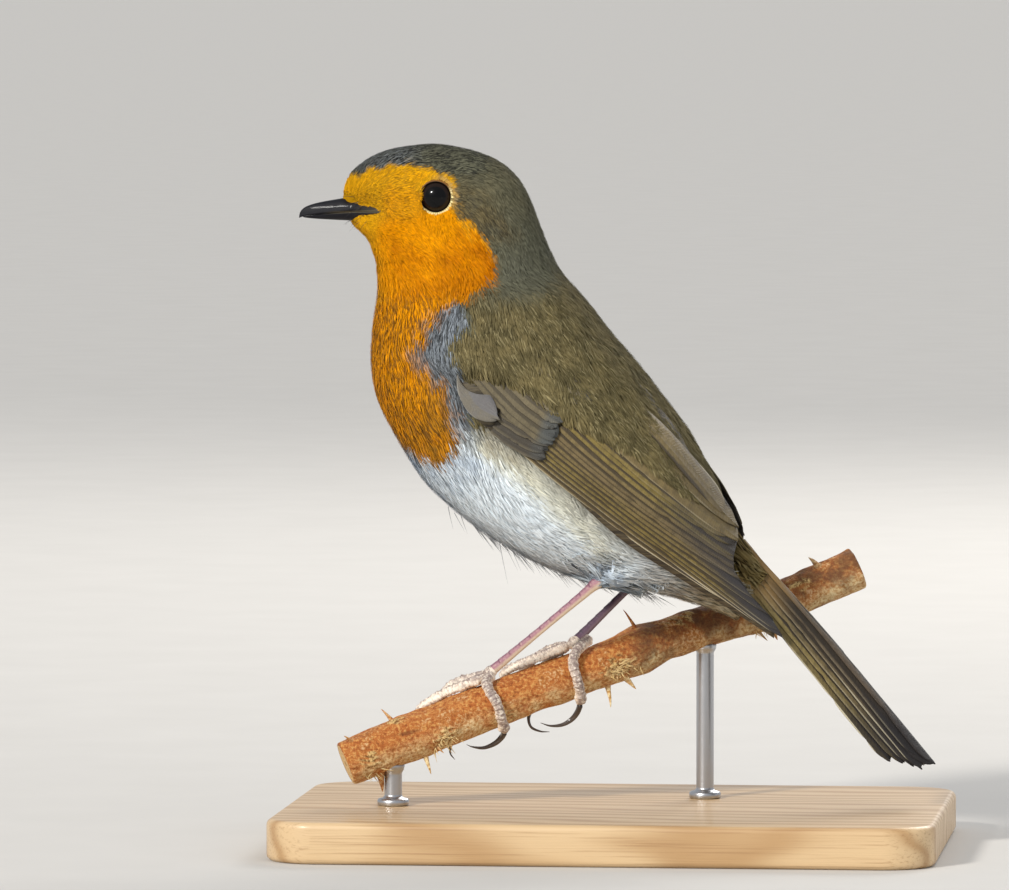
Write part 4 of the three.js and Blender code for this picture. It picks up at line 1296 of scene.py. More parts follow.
tailFinish = featherFinish("tail_vanes", featherPaint | {
    "brown": (86, 73, 58), "gold": (128, 112, 66), "slate": (36, 33, 34), "inner": (42, 36, 28),
    "base": (134, 104, 58),
})
for side, mirrored, seed in (("left", False, 401), ("right", True, 431)):
    place = (tailSurface, mirrored, seed, "tail_feathers", tailFinish, ("tail",))
    layFeathers(f"tail_feathers_{side}", tailGroups(), *place)
report("tail")


def tube(path, out, radius, sides, wide=1.0):
    # rings along a path: at turn a from the way out, the point is radius (cos a out + wide sin a aside)
    way = unit(np.gradient(path, axis=0))
    aside = unit(np.cross(way, out))
    top = np.cross(aside, way)
    turn = circle(sides)[None, :, None]
    radius = np.broadcast_to(radius, (len(path), sides))[..., None]
    return path[:, None] + radius * (np.cos(turn) * top[:, None] + wide * np.sin(turn) * aside[:, None])


def closedPart(rings, marks):
    # a closed skin over rings, with the marks of its grid and of its two end points
    points, faces, places = ringed(rings)
    return points, faces, places, np.concatenate([marks.reshape(-1, 4), marks[[0, -1]].mean(1)])


def addPart(name, part, finish, slot, mark, *nodes):
    points, faces, places, marks = part
    makePiece(name, points, faces, finish, slot, places, {mark: marks}, nodes)


def joined(parts):
    # several (points, faces, places, marks) as one, each on its own strip of the map
    points, faces, places, marks, shift = [], {}, {}, [], 0
    for n, (spots, loops, corners, mark) in enumerate(parts):
        points.append(spots)
        marks.append(mark)
        for loop, corner in zip(loops, corners):
            faces.setdefault(loop.shape[1], []).append(loop + shift)
            moved = stacked((n + 0.02 + 0.96 * corner[..., 0]) / len(parts), corner[..., 1])
            places.setdefault(loop.shape[1], []).append(moved)
        shift += len(spots)
    order = sorted(faces, reverse=True)
    faces, places = ([np.vstack(table[k]) for k in order] for table in (faces, places))
    return np.vstack(points), faces, places, np.vstack(marks)


bill = {
    "tip": (-54.3, 106.7),
    "root": -39.4,
    "topRoot": 110.5,
    "lowRoot": 105.9,
    "half": 2.7,
    "hook": 0.3,  # how far the upper tip bends down over the lower
    "nostril": (-45.6, 109.3),
}


def gapeFlange(x, half):
    # how far the mouth line reaches past the bill's own half width, to the side of the face
    pinched = 1 - body["pinch"] * smooth(-37, -44, x)
    face = np.sqrt(np.maximum(squaredHalf(x, 0 * x + body["gape"]), 0)) * pinched
    reach = np.maximum(face + 0.35 - half, 0) * smooth(-46.5, -44.2, x)
    return reach - 0.9 * smooth(-41.6, -39.6, x)


def billFinish():
    # horn marks hold nearness to the mouth line, the nostril and the share towards the root
    paint = Finish("bill_horn_sheath")
    where = paint.place()
    mouth, nostril, back = paint.split(paint.attribute("horn"))
    grain = paint.noise(paint.place((0.5, 2, 2)), 0.8, 3)
    speckle = paint.noise(where, 0.35, 3)
    stripe = mouth.between(0.78, 0.98) * back.between(0.25, 0.6)
    colour = paint.layers(
        (9, 9, 13),
        (grain, (24, 24, 31)),
        (back.between(0.6, 1) * 0.4, (84, 78, 66)),
        (stripe * (0.55 + 0.3 * speckle), (128, 118, 92)),
        # nearly black in the nostril: painted shade in its opening
        (nostril.between(0.35, 0.8), (8, 7, 7)),
    )
    relief = paint.relief(grain + 0.5 * paint.noise(where, 0.15, 2), 0.035)
    return paint.surface(colour, 0.48 + 0.2 * grain, relief, {"Coat Weight": 0.05, "Specular IOR Level": 0.2})


def addMandible(name, upper, node, finish):
    # far runs from the tip (0) to the root (1): ridge rises as far^0.32, keel falls as far^0.48,
    # half width is far^0.75; a section is height sin(a)^0.8 over the mouth line
    rows, sides = 90, 64
    far = np.linspace(0.0006, 1, rows)[:, None] ** 1.5
    if not upper:
        far = 0.045 + 0.955 * far
    x = bill["tip"][0] + (bill["root"] - bill["tip"][0]) * far
    tipHigh = bill["tip"][1]
    seam = tipHigh + (body["gape"] - tipHigh) * far + 0.18 * np.sin(np.pi * far) ** 1.5
    half = bill["half"] * far**0.75 * (1 if upper else 0.94)
    arc = circle(sides)[None]
    top = arc < np.pi
    rise = np.abs(np.sin(arc)) ** 0.8
    if upper:
        full = bill["topRoot"] - tipHigh
        edge = tipHigh + full * far**0.32 - seam
        hook = bill["hook"] * np.exp(-far / 0.035)
        z = seam - hook + np.where(top, edge * rise, 0.22 * np.minimum(edge, 1) * rise) + 0.03
        z = z + 0.1 * bump(0.62, 0.16, far) * top
    else:
        edge = seam - (tipHigh + (bill["lowRoot"] - tipHigh) * ((far - 0.045) / 0.955) ** 0.48)
        z = seam - 0.05 - np.where(top, edge * rise, -0.12 * np.minimum(edge, 1) * rise)
    y = half * np.cos(arc) + np.sign(np.cos(arc)) * gapeFlange(x, half) * np.abs(np.cos(arc)) ** 9
    tight = 1 - 0.1 * (rise > 0.2) * rise
    rings = stacked(x + 0 * arc, y * tight, z)
    beyond, over = x - bill["nostril"][0], z - bill["nostril"][1] + 0.12 * (x + 45.4)
    nose = np.exp(-((beyond / 0.75) ** 2) - (over / 0.28) ** 2) * top * upper
    rings[..., 1] -= np.sign(rings[..., 1]) * 0.4 * nose
    near = bump(0.12, 0.6, z - seam)
    marks = stacked(near, nose, far + 0 * arc, 1 + 0 * z)
    addPart(name, closedPart(rings, marks), finish, "bill_horn", "horn", node)


hornFinish = billFinish()
addMandible("bill_top", True, "bill_upper", hornFinish)
addMandible("bill_bottom", False, "bill_lower", hornFinish)

eyeLook = {
    "open": 2.52,  # radius of the opening between the lids
    "lid": 0.66,  # width of the ring of the lids
    "beads": 46,
    "pupil": 1.75,
    "unit": 4,  # mm from the pupil's middle that a mark of 1 stands for
}


def eyeFinish(side):
    # a nearly black brown iris round the pupil, under a clear wet coat
    paint = Finish("eye_" + side + "_wet")
    radius = paint.split(paint.attribute("ball"))[0] * eyeLook["unit"]
    uneven = radius + 0.1 * paint.noise(paint.place(), 0.35, 3)
    iris = uneven.between(eyeLook["pupil"], eyeLook["pupil"] + 0.2)
    colour = paint.layers((2, 2, 3), (iris, (26, 14, 8)), (radius.between(2.3, 2.6), (6, 5, 5)))
    wet = {"Coat Weight": 0.7, "Coat Roughness": 0.02, "Coat IOR": 1.33, "Specular IOR Level": 0.05}
    return paint.surface(colour, 0.3, None, wet)


def addEye(side, sign):
    # a ball with the clear dome of the cornea: radius R + 0.16 exp(-(r / 2)^4) on the side that shows
    rows, sides = 44, 64
    down = np.linspace(0.02, np.pi - 0.02, rows)[:, None]
    turn = circle(sides)[None]
    radius = body["eyeRadius"] - 0.02
    aside = radius * np.sin(down)
    dome = 0.16 * np.exp(-((aside / 2.0) ** 4)) * (down < np.pi / 2)
    eye = body["eye"]
    rings = stacked(
        eye[0] + aside * np.cos(turn),
        sign * (eye[1] + (radius + dome) * np.cos(down)) + 0 * turn,
        eye[2] + aside * np.sin(turn),
    )
    ball = stacked(aside / eyeLook["unit"] + 0 * turn, 0, 0, 1)
    addPart("eyeball_" + side, closedPart(rings, ball), eyeFinish(side), "eye", "ball", "eye_" + side)


def lidFinish():
    # cream below and behind the eye, orange above and before it, dark on the wet rim
    paint = Finish("eye_lids")
    cream, inner, bead = paint.split(paint.attribute("lid"))
    colour = paint.layers(
        (120, 78, 22),
        (cream, (240, 222, 158)),
        (bead.between(0.5, 0.1) * 0.6, (126, 88, 28)),
        (inner.between(0.3, 0.7), (16, 11, 9)),
    )
    return paint.surface(colour, 0.5, None, {"Specular IOR Level": 0.4})


def addLids(side, sign, finish):
    # a ring round the eye: it leaves the ball at the opening, swells and sinks into the skin; beads
    # stand on its inner half as 0.07 (0.1 + 0.5 cos(n turn))
    turns, sides = 184, 20
    turn = circle(turns)[:, None]
    u = np.linspace(0, 1, sides // 2)[None]
    eye = body["eye"]
    away = eyeLook["open"] + eyeLook["lid"] * u
    x, z = eye[0] + away * np.cos(turn), eye[2] + away * np.sin(turn)
    ballHigh = eye[1] + math.sqrt(body["eyeRadius"] ** 2 - eyeLook["open"] ** 2)
    skin = np.sqrt(np.maximum(squaredHalf(x, z), 0)) - 0.42
    bead = 0.5 + 0.5 * np.cos(eyeLook["beads"] * turn)
    high = ballHigh + 0.06 + (skin - ballHigh - 0.06) * smooth(0, 1, u)
    high = high + 0.22 * np.sin(np.pi * np.clip(1.3 * u, 0, 1))
    high = high + 0.07 * (bead - 0.4) * bump(0.35, 0.25, u)
    low = high - 0.12 - 0.5 * smooth(0, 0.3, u)
    outside = stacked(x, sign * high, z)
    inside = stacked(x, sign * low, z)[:, ::-1]
    grid = np.concatenate([outside, inside], 1)
    count = turns * sides
    quads, places = gridFaces(turns + 1, sides, True)
    faces = [quads % count]
    # cream where the turn faces down and back
    cream = smooth(-0.25, 0.45, -np.sin(turn) * 0.8 + np.cos(turn) * 0.55)
    rim = 1 - smooth(0.04, 0.2 + 0.3 * (1 - cream), u)
    marks = stacked(cream + 0 * u, rim, bead + 0 * u, 1 + 0 * rim)
    marks = np.concatenate([marks, marks[:, ::-1]], 1).reshape(-1, 4)
    points, faces = outward(grid.reshape(-1, 3), faces)
    makePiece("lids_" + side, points, faces, finish, "plumage", [places], {"lid": marks})


lidRing = lidFinish()
for side, sign in (("left", -1), ("right", 1)):
    addEye(side, sign)
    addLids(side, sign, lidRing)

strands = {
    # roots as x, half width, z; reach is where their tips stand from the roots
    "bristles": [
        ((-43.2, 2.7, 108.3), (-3.2, 1, -1.2)), ((-43.8, 2.5, 109.2), (-3.4, 0.9, -0.2)),
        ((-42.4, 3, 107.4), (-3, 1, -1.9)), ((-44.3, 2.2, 110), (-2.8, 0.8, 0.6)),
        ((-41.6, 3.2, 106.8), (-2.3, 0.9, -2.2)), ((-44.6, 1.6, 110.6), (-2.4, 0.5, 1)),
        ((-43, 2.4, 106.3), (-2.6, 0.4, -1.5)), ((-44.4, 1.2, 106.6), (-2.4, 0.2, -0.8)),
    ],
    "loose": [
        ((-28.5, -3, 57.6), (0.7, -0.6, -3.4)), ((-27.4, -3.4, 56.6), (1.6, -0.4, -2.8)),
        ((-26.4, -2.2, 56), (0.9, -0.2, -2.6)), ((-19.8, -3.8, 52.4), (1.4, -0.6, -7.4)),
        ((-19.2, -3.2, 52), (2.4, -0.2, -4.8)), ((-17.6, -4.4, 50.8), (1.5, -0.3, -3.6)),
        ((-14.5, -4, 49.4), (1.8, 0.2, -3)), ((-13.4, -5.2, 48.8), (2.4, -0.2, -2.4)),
        ((1.5, -4.2, 44), (2.6, -0.4, -1.7)), ((3.4, -3.2, 43.6), (2.8, 0.4, -1.4)),
        ((5.4, -3.8, 43.2), (3, -0.2, -1.6)), ((7.4, -2.6, 42.4), (2.8, 0, -1.3)),
    ],
}


def fringe(count=110):
    # seeded loose tips along the lower edge of the belly, leaving it backwards and down
    rng = np.random.default_rng(61)
    rows = []
    for t, side in zip(rng.uniform(14.2, 17.6, count), rng.uniform(-5.5, 4.5, count)):
        foot, way = along(fronts, t), unit(along(fronts, t + 0.3) - along(fronts, t))
        reach = way * rng.uniform(1.2, 3.4) + np.array([0, -1]) * rng.uniform(0.3, 2.0)
        root = (foot[0] + 0.3, side, foot[1] + 0.25 + 0.02 * side**2)
        rows.append((root, (reach[0], rng.uniform(-0.5, 0.5), reach[1])))
    return rows


def strandFinish(name, dark, light):
    paint = Finish(name)
    return paint.surface(paint.blend(paint.noise(paint.place(), 1.5, 2), dark, light), 0.6)


def addStrands(name, rows, thick, bend, finish, both=False, slot="plumage"):
    # thin tapering hairs that bend as reach s plus bend s^2 down
    parts = []
    for sign in (1, -1) if both else (1,):
        for root, reach in rows:
            s = shares(9)
            path = np.array(root) + np.array(reach) * s + np.array([0.25, 0, -bend]) * s**2
            rings = tube(path, np.array([0.0, 1.0, 0.2]), thick * (1 - 0.9 * s), 5) * np.array([1, sign, 1])
            parts.append(closedPart(rings, np.ones((*rings.shape[:2], 4))))
    points, faces, places, _ = joined(parts)
    makePiece(name, points, faces, finish, slot, places)


bristleFinish = strandFinish("bristle_hair", (22, 18, 16), (50, 42, 36))
addStrands("bristles", strands["bristles"], 0.06, 0.5, bristleFinish, True)
looseFinish = strandFinish("loose_hair", (60, 60, 62), (180, 182, 186))
addStrands("loose_strands", strands["loose"] + fringe(), 0.07, 0.4, looseFinish)
report("bill, eyes and bristles")

perch = {
    "line": [
        (-45.4, -8.6, 14.2), (-38.2, -6.6, 17.2), (-31.1, -4.6, 19.9), (-22.4, -2.4, 23.3),
        (-14.1, 0, 26.4), (-7.8, 1.9, 28.6), (-1.2, 4.6, 31), (7.3, 8.8, 34.4),
        (14.1, 12.4, 36.6), (22.3, 16, 38.8), (31.1, 18.6, 42.4), (39.6, 20.6, 46.2),
    ],
    "radius": 3.7,
    "relief": 0.16,  # depth of the bark's lumps
    # broken twigs, torn bark and knots: x of the centre line, degrees round from the top towards the left
    # side, length along, width in degrees and height
    "scars": [
        (-1.6, 100, 2.8, 34, 0.42), (22.4, 150, 1.8, 26, 0.35), (-29.6, 112, 2.4, 26, 0.35),
        (-36, 20, 1.6, 22, 0.35), (30, 60, 2, 24, 0.3), (10, 35, 2.6, 26, 0.22),
        (-42, 100, 1.8, 30, 0.3), (-20, 130, 2.4, 30, 0.2),
    ],
    # loose fibres at the scars: x of the centre line, degrees round, count and spread
    "splinters": [(-1.5, 108, 44, 2.2), (-29.8, 124, 34, 1.8), (22.2, 158, 16, 1.3), (-41.5, 150, 8, 1.6)],
    # thorns: x of the centre line, degrees round, length, radius of the foot, lean along and paleness
    "thorns": [
        (-41, 178, 3, 1.3, -0.3, 0.2), (-33.6, 158, 3.4, 0.8, -0.1, 1), (-36.2, -24, 2.6, 0.7, -0.4, 0.3),
        (-3.4, 156, 3.8, 0.8, -0.3, 1), (-0.8, 140, 3, 1.1, 0.2, 0.8), (3.6, 6, 3.8, 0.55, -0.3, 0),
        (24, 186, 2.6, 1.2, 0.1, 0.3), (34, 24, 2.4, 1.1, -0.5, 0.4), (21.6, 160, 2, 0.6, 0.5, 0.5),
        (-1.9, 118, 1.7, 0.45, -0.5, 0.7), (-31.6, 138, 1.6, 0.5, 0.4, 0.6), (-43.3, 30, 1.8, 0.7, -0.6, 0.3),
    ],
}
sawnUnit = 5  # mm from the middle of a sawn end that a mark of 1 stands for
perchPath = curveThrough(perch["line"], 1601)
perchWay = unit(np.gradient(perchPath, axis=0))


def onPerch(x, turn):
    # of the branch where its centre line has x: the middle, the way along, the way out at a turn in
    # degrees from the top towards the left side, and the radius 3.7 + 0.22 sin(5.2 s + 0.6) + a knuckle
    x, turn = np.broadcast_arrays(np.asarray(x, float), np.radians(turn))
    pick = lambda table: np.stack([np.interp(x, perchPath[:, 0], table[:, n]) for n in range(3)], -1)
    middle, way = pick(perchPath), unit(pick(perchWay))
    up = unit(np.array([0, 0, 1.0]) - way * way[..., 2:])
    out = up * np.cos(turn)[..., None] + np.cross(way, up) * np.sin(turn)[..., None]
    share = np.interp(x, perchPath[:, 0], np.linspace(0, 1, len(perchPath)))
    girth = perch["radius"] + 0.22 * np.sin(5.2 * share + 0.6) + 0.42 * bump(0.56, 0.035, share)
    return middle, way, out, girth


def onBark(spots):
    # places given as x, turn and height above the bark, and the ways out there
    x, turn, lift = np.asarray(spots, float).T
    middle, _, out, girth = onPerch(x, turn)
    return middle + out * (girth + lift)[:, None], out


def barkFinish():
    # bark marks hold lumps, torn places, the sawn end (mm from its middle in units of sawnUnit) and paleness
    paint = Finish("bark_and_wood")
    where = paint.place()
    lumps, torn, sawn = paint.split(paint.attribute("bark"))
    turned = (0, math.radians(24), math.radians(-16))
    fibres = paint.noise(paint.place((0.3, 1.2, 1.2), turned), 0.8, 5, 0.6, 0.3)
    patches, fine = paint.noise(where, 5.5, 4, 0.6), paint.noise(where, 0.55, 5, 0.7)
    # how far past x = -1 mm, where the bird's painted shadow falls on the bark
    far = paint.node("SeparateXYZ", {}, {0: where}, "X").between(-1, 6)
    dark = paint.noise(where, 1.3, 3).between(0.66, 0.78)
    straw = paint.blend(fine.between(0.4, 0.6), (112, 76, 36), (222, 188, 126))
    light = paint.blend(fine.between(0.36, 0.6), (186, 140, 76), (238, 220, 172))
    fromMiddle = sawn * sawnUnit
    wood = paint.layers(
        (196, 158, 104),
        (0.5 + 0.35 * paint.sum("SINE", fromMiddle * 9 + 1.6 * paint.noise(where, 1.5, 2)), (228, 198, 148)),
        (fromMiddle.between(0.55, 0.3), (120, 84, 50)),
        (fromMiddle.between(3.0, 3.3), (112, 62, 34)),
    )
    colour = paint.layers(
        (168, 92, 40),
        (fibres.between(0.38, 0.62) * 0.6, (202, 132, 68)),
        (patches.between(0.48, 0.66) * 0.5, (178, 122, 62)),
        (fine.between(0.5, 0.6) * 0.55, (224, 176, 104)),
        (fine.between(0.46, 0.36) * 0.65, (112, 54, 24)),
        (lumps.between(0.3, 0.0) * 0.6, (88, 48, 28)),
        # painted shadow of the bird: the bark past x = -1 mm turns darker in patches
        (far * patches.between(0.66, 0.42) * 0.75, (84, 62, 44)),
        (fine.between(0.5, 0.6) * patches.between(0.54, 0.6) * 0.4, (216, 190, 160)),
        (dark * 0.5, (96, 56, 34)),
        (torn.between(0.2, 0.7) * 0.9, straw),
        (paint.attribute("bark", "Alpha") * 0.9, light),
        (sawn.between(0.001, 0.004), wood),
    )
    relief = paint.relief(fibres * 0.7 + fine * 1.3, 0.3)
    return paint.surface(colour, 0.62 + 0.25 * fine, relief, {"Specular IOR Level": 0.3})


def perchRings(rows, sides):
    # rings along the branch: radius + relief (long lumps + flakes) + scars; the ends are sawn flat
    x = np.linspace(perch["line"][0][0], perch["line"][-1][0], rows)
    turn = np.linspace(0, 360, sides, endpoint=False)
    grid = np.meshgrid(x, turn, indexing="ij")
    middle, _, out, girth = onPerch(*grid)
    flat = middle + out * girth[..., None]
    runs = flat * np.array([0.28, 1, 1])
    lumps = 0.55 * ripple(runs, 2.6, 51) + 0.35 * ripple(flat, 7, 52) + 0.3 * ripple(runs, 1.1, 53)
    torn = np.zeros(grid[0].shape)
    for place, about, long, wide, high in perch["scars"]:
        off = (grid[1] - about + 180) % 360 - 180
        shape = np.exp(-(((grid[0] - place) / long) ** 2) - (off / wide) ** 2)
        rough = 0.65 + 0.5 * ripple(runs, 0.6, 60)
        torn = np.maximum(torn, shape * np.clip(rough, 0, 1.2))
        lumps = lumps + shape * high / perch["relief"] * rough
    rise = perch["relief"] * lumps
    edge = np.minimum(np.arange(rows), np.arange(rows)[::-1])[:, None]
    rise = rise - 0.3 * (edge == 0) - 0.06 * (edge == 1)
    rings = middle + out * (girth + rise)[..., None]
    under = 0.7 * smooth(75, 128, np.abs((grid[1] + 180) % 360 - 180)) * (0.75 + 0.35 * ripple(flat, 3, 61))
    marks = stacked(0.5 + 0.35 * lumps, np.clip(torn, 0, 1), 0 * torn, np.clip(under, 0, 1))
    return rings, marks


def endCap(rings, inward):
    # the sawn face as rings that shrink to the middle, set on the last ring of the bark
    middle = rings.mean(0)
    share = np.linspace(1, 0.06, 9)[:, None, None]
    dip = 0.12 * np.sin(np.pi * share * 0.9)
    return middle + (rings - middle) * share + inward * dip


def addPerch():
    rows, sides = 420, 112
    rings, marks = perchRings(rows, sides)
    first, last = endCap(rings[0], perchWay[0])[::-1], endCap(rings[-1], -perchWay[-1])
    fromMiddle = lambda cap: lengthOf(cap - cap.mean((0, 1)))[..., 0] / sawnUnit + 0.005
    capMarks = lambda cap: stacked(0, 0, fromMiddle(cap), 0)
    marks = np.concatenate([capMarks(first)[:-1], marks[:1], marks[1:-1], marks[-1:], capMarks(last)[1:]])
    rings = np.concatenate([first[:-1], rings, last[1:]])
    parts = [closedPart(rings, marks)]
    for x, turn, long, wide, lean, pale in perch["thorns"]:
        middle, way, out, girth = onPerch(x, turn)
        s = shares(26)
        path = middle + out * (girth - 0.9 + (long + 0.9) * s) + way * lean * long * s**1.6
        radius = wide * (1 - s) ** 0.75 * (0.62 + 0.6 * np.exp(-s / 0.14)) + 0.025
        spin = circle(18)
        radius = radius * (1 + 0.07 * np.sin(3 * spin + 9 * s))
        horn = tube(path, way + 0.01, radius, 18)
        tone = stacked(0.5 + 0 * radius, 0 * radius, 0 * radius, pale * smooth(0.05, 0.4, s) + 0 * radius)
        parts.append(closedPart(horn, tone))
    addPart("branch", joinedPerch(parts), barkFinish(), "bark", "bark", "perch")


def joinedPerch(parts):
    # the branch keeps nine tenths of the map, the thorns share the rest
    points, faces, places, marks = joined(parts)
    count = len(parts)
    spread = np.interp(np.arange(count + 1), [0, 1, count], [0, 0.9, 1])
    moved = [stacked(np.interp(p[..., 0] * count, np.arange(count + 1), spread), p[..., 1]) for p in places]
    return points, faces, moved, marks


def splinters():
    # short torn fibres that stand off the torn places, in seeded directions
    rng = np.random.default_rng(71)
    rows = []
    for x, turn, count, spread in perch["splinters"]:
        for _ in range(count):
            middle, way, out, girth = onPerch(x + rng.normal(0, spread * 0.6), turn + rng.normal(0, 15))
            around = np.cross(way, out)
            reach = rng.uniform(0.8, 2.6) * out * 0.75 + rng.normal(0, 0.9) * way
            reach = reach + rng.normal(0, 0.5) * around
            rows.append((middle + out * (girth - 0.15), reach))
    return rows


addPerch()
splinterFinish = strandFinish("splinter_fibre", (168, 128, 64), (238, 218, 164))
addStrands("splinters", splinters(), 0.15, -0.1, splinterFinish, slot="bark")
report("branch")

# Each leg: the heel, a place above it under the feathers, the ankle on the branch, and the toes as radius,
# places of the toe and places of its claw; those on the branch are x, turn in degrees and height over it.
legs = {
    "left": {
        "heel": (-2.6, -7.7, 45.2),
        "above": (2.6, -8.3, 47.6),
        "ankle": (-19.7, 7, 1.7),
        "toes": [
            (0.92,
             [(-19.4, 12, 1.5), (-20.9, 28, 1.2), (-21.2, 54, 1.2), (-20.9, 86, 1.2), (-21, 118, 1.2),
              (-20.9, 148, 1.2)],
             [(-20.9, 158, 1.2), (-21.4, 176, 1.7), (-22.6, 184, 2.4), (-24.5, 187, 2.5), (-26.2, 182, 1.5),
              (-27, 172, 0.7)]),
            (0.78,
             [(-20.2, -2, 1.4), (-22.4, -28, 1.1), (-24.4, -58, 1.1), (-26.2, -90, 1.1),
              (-27.8, -122, 1.1)],
             [(-28.1, -131, 1), (-29.1, -148, 1.1), (-29.6, -159, 1.8), (-29.3, -164, 2.9)]),
            (0.8,
             [(-20.1, 8, 1.4), (-22.6, 4, 1.15), (-25.3, -8, 1.1), (-28, -22, 1.1), (-30.9, -42, 1.1),
              (-32, -60, 1.1)],
             [(-32.3, -70, 1), (-33.1, -87, 1.2), (-33.3, -102, 1), (-32.9, -116, 0.6)]),
            (0.76,
             [(-20, 2, 1.5), (-22.4, -8, 1.7), (-24.6, -16, 2.1), (-26.6, -30, 1.9), (-28.2, -52, 1.2),
              (-29.4, -74, 1.1)],
             [(-29.8, -85, 1), (-30.5, -102, 1.2), (-30.6, -117, 1), (-30.1, -130, 0.6)]),
        ],
    },
    "right": {
        "heel": (6.2, 8.6, 48.2),
        "above": (9.6, 8.0, 51.2),
        "ankle": (-6.1, 6, 1.7),
        "toes": [
            (0.92,
             [(-3.4, 8, 1.6), (-5.4, 24, 1.5), (-7.2, 42, 1.3), (-8, 64, 1.2), (-8.1, 92, 1.2),
              (-8.2, 122, 1.2), (-8.3, 148, 1.2)],
             [(-8.3, 158, 1.3), (-8.9, 174, 2.3), (-9.9, 182, 3.2), (-11.5, 184, 3.6), (-13.4, 184, 3.1),
              (-14.9, 180, 1.9)]),
            (0.78,
             [(-6.6, -4, 1.4), (-9, -28, 1.1), (-11, -58, 1.1), (-12.8, -90, 1.1), (-14.6, -124, 1.1)],
             [(-15, -133, 1.1), (-16.1, -150, 1.7), (-16.2, -160, 2.7), (-15.1, -167, 3.7),
              (-13.8, -170, 4.2)]),
            (0.8,
             [(-6.9, 2, 1.5), (-9.3, -2, 1.4), (-11.7, -4, 1.2), (-14.2, -10, 1.1), (-16.7, -26, 1.1),
              (-17.7, -44, 1.1)],
             [(-17.9, -54, 1), (-18.6, -71, 1.2), (-18.8, -86, 1), (-18.4, -100, 0.6)]),
            (0.76,
             [(-6.8, -1, 1.5), (-9.2, -12, 1.8), (-11.4, -22, 1.6), (-13.6, -40, 1.2), (-15.4, -64, 1.1)],
             [(-15.8, -75, 1), (-16.6, -93, 1.2), (-16.8, -108, 1), (-16.4, -122, 0.6)]),
        ],
    },
}


def legFinish(name, skin, dark, pale, mottled):
    # leg marks hold the gaps between scales in red and the outer side in blue
    paint = Finish(name)
    where = paint.place()
    gap, _, front = paint.split(paint.attribute("leg"))
    fine, blots = paint.noise(where, 0.45, 4, 0.6), paint.noise(where, 1.4, 3)
    colour = paint.layers(
        skin,
        (blots.between(0.4, 0.7) * 0.55 * mottled, dark),
        (front.between(0.6, 0.2) * 0.8, pale),
        (front.between(0.65, 0.95) * 0.6, dark),
        (fine.between(0.52, 0.6) * 0.55 * mottled, pale),
        (fine.between(0.46, 0.36) * 0.5 * mottled, dark),
        (gap.between(0.35, 0.9) * 0.75, dark),
    )
    return paint.surface(colour, 0.42 + 0.2 * fine, paint.relief(fine, 0.06))


def clawFinish():
    # the leg mark is 0 at the root of the claw and 1 at its tip
    paint = Finish("claw_horn_dark")
    toPoint = paint.split(paint.attribute("leg"))[0]
    grain = paint.noise(paint.place(), 0.5, 3)
    horn = paint.blend(grain, (58, 48, 44), (112, 98, 86))
    colour = paint.blend(toPoint.between(0.0, 0.35) * 0.5, (44, 36, 34), horn)
    return paint.surface(colour, 0.26 + 0.1 * grain, None, {"Coat Weight": 0.3})


def scaled(s, turn, count, depth):
    # overlapping scales: a sawtooth along s on the upper half of the section, and the gap after each
    saw = (s * count) % 1
    upper = smooth(-0.2, 0.35, np.cos(turn))
    return depth * (saw - 0.5) * upper, bump(0, 0.1, np.minimum(saw, 1 - saw)) * upper


def legPart(path, out, radius, count, depth, pads, wide=1.0, sides=28):
    # a scaled limb: radius + scales on its outer half + soft pads on the inner half
    s = shares(len(path))
    turn = circle(sides)[None]
    rise, gap = scaled(s, turn, count, depth)
    under = smooth(0.1, 0.8, -np.cos(turn))
    rise = rise + under * (0.1 * np.abs(np.sin(np.pi * s * pads)) if pads else 0)
    rough = 0.09 * ripple(path, 0.5, 81) if pads else 0 * path[:, 0]
    rise = rise + rough[:, None] * np.cos(3 * turn + 9 * s)
    whole = (radius + rise) * np.sqrt(np.clip(1 - np.clip(0.06 - s, 0, 1) / 0.0601, 0.02, 1))
    rings = tube(path, out, whole, sides, wide)
    marks = stacked(gap, 0, 0.5 + 0.5 * np.cos(turn), 1)
    return closedPart(rings, marks)


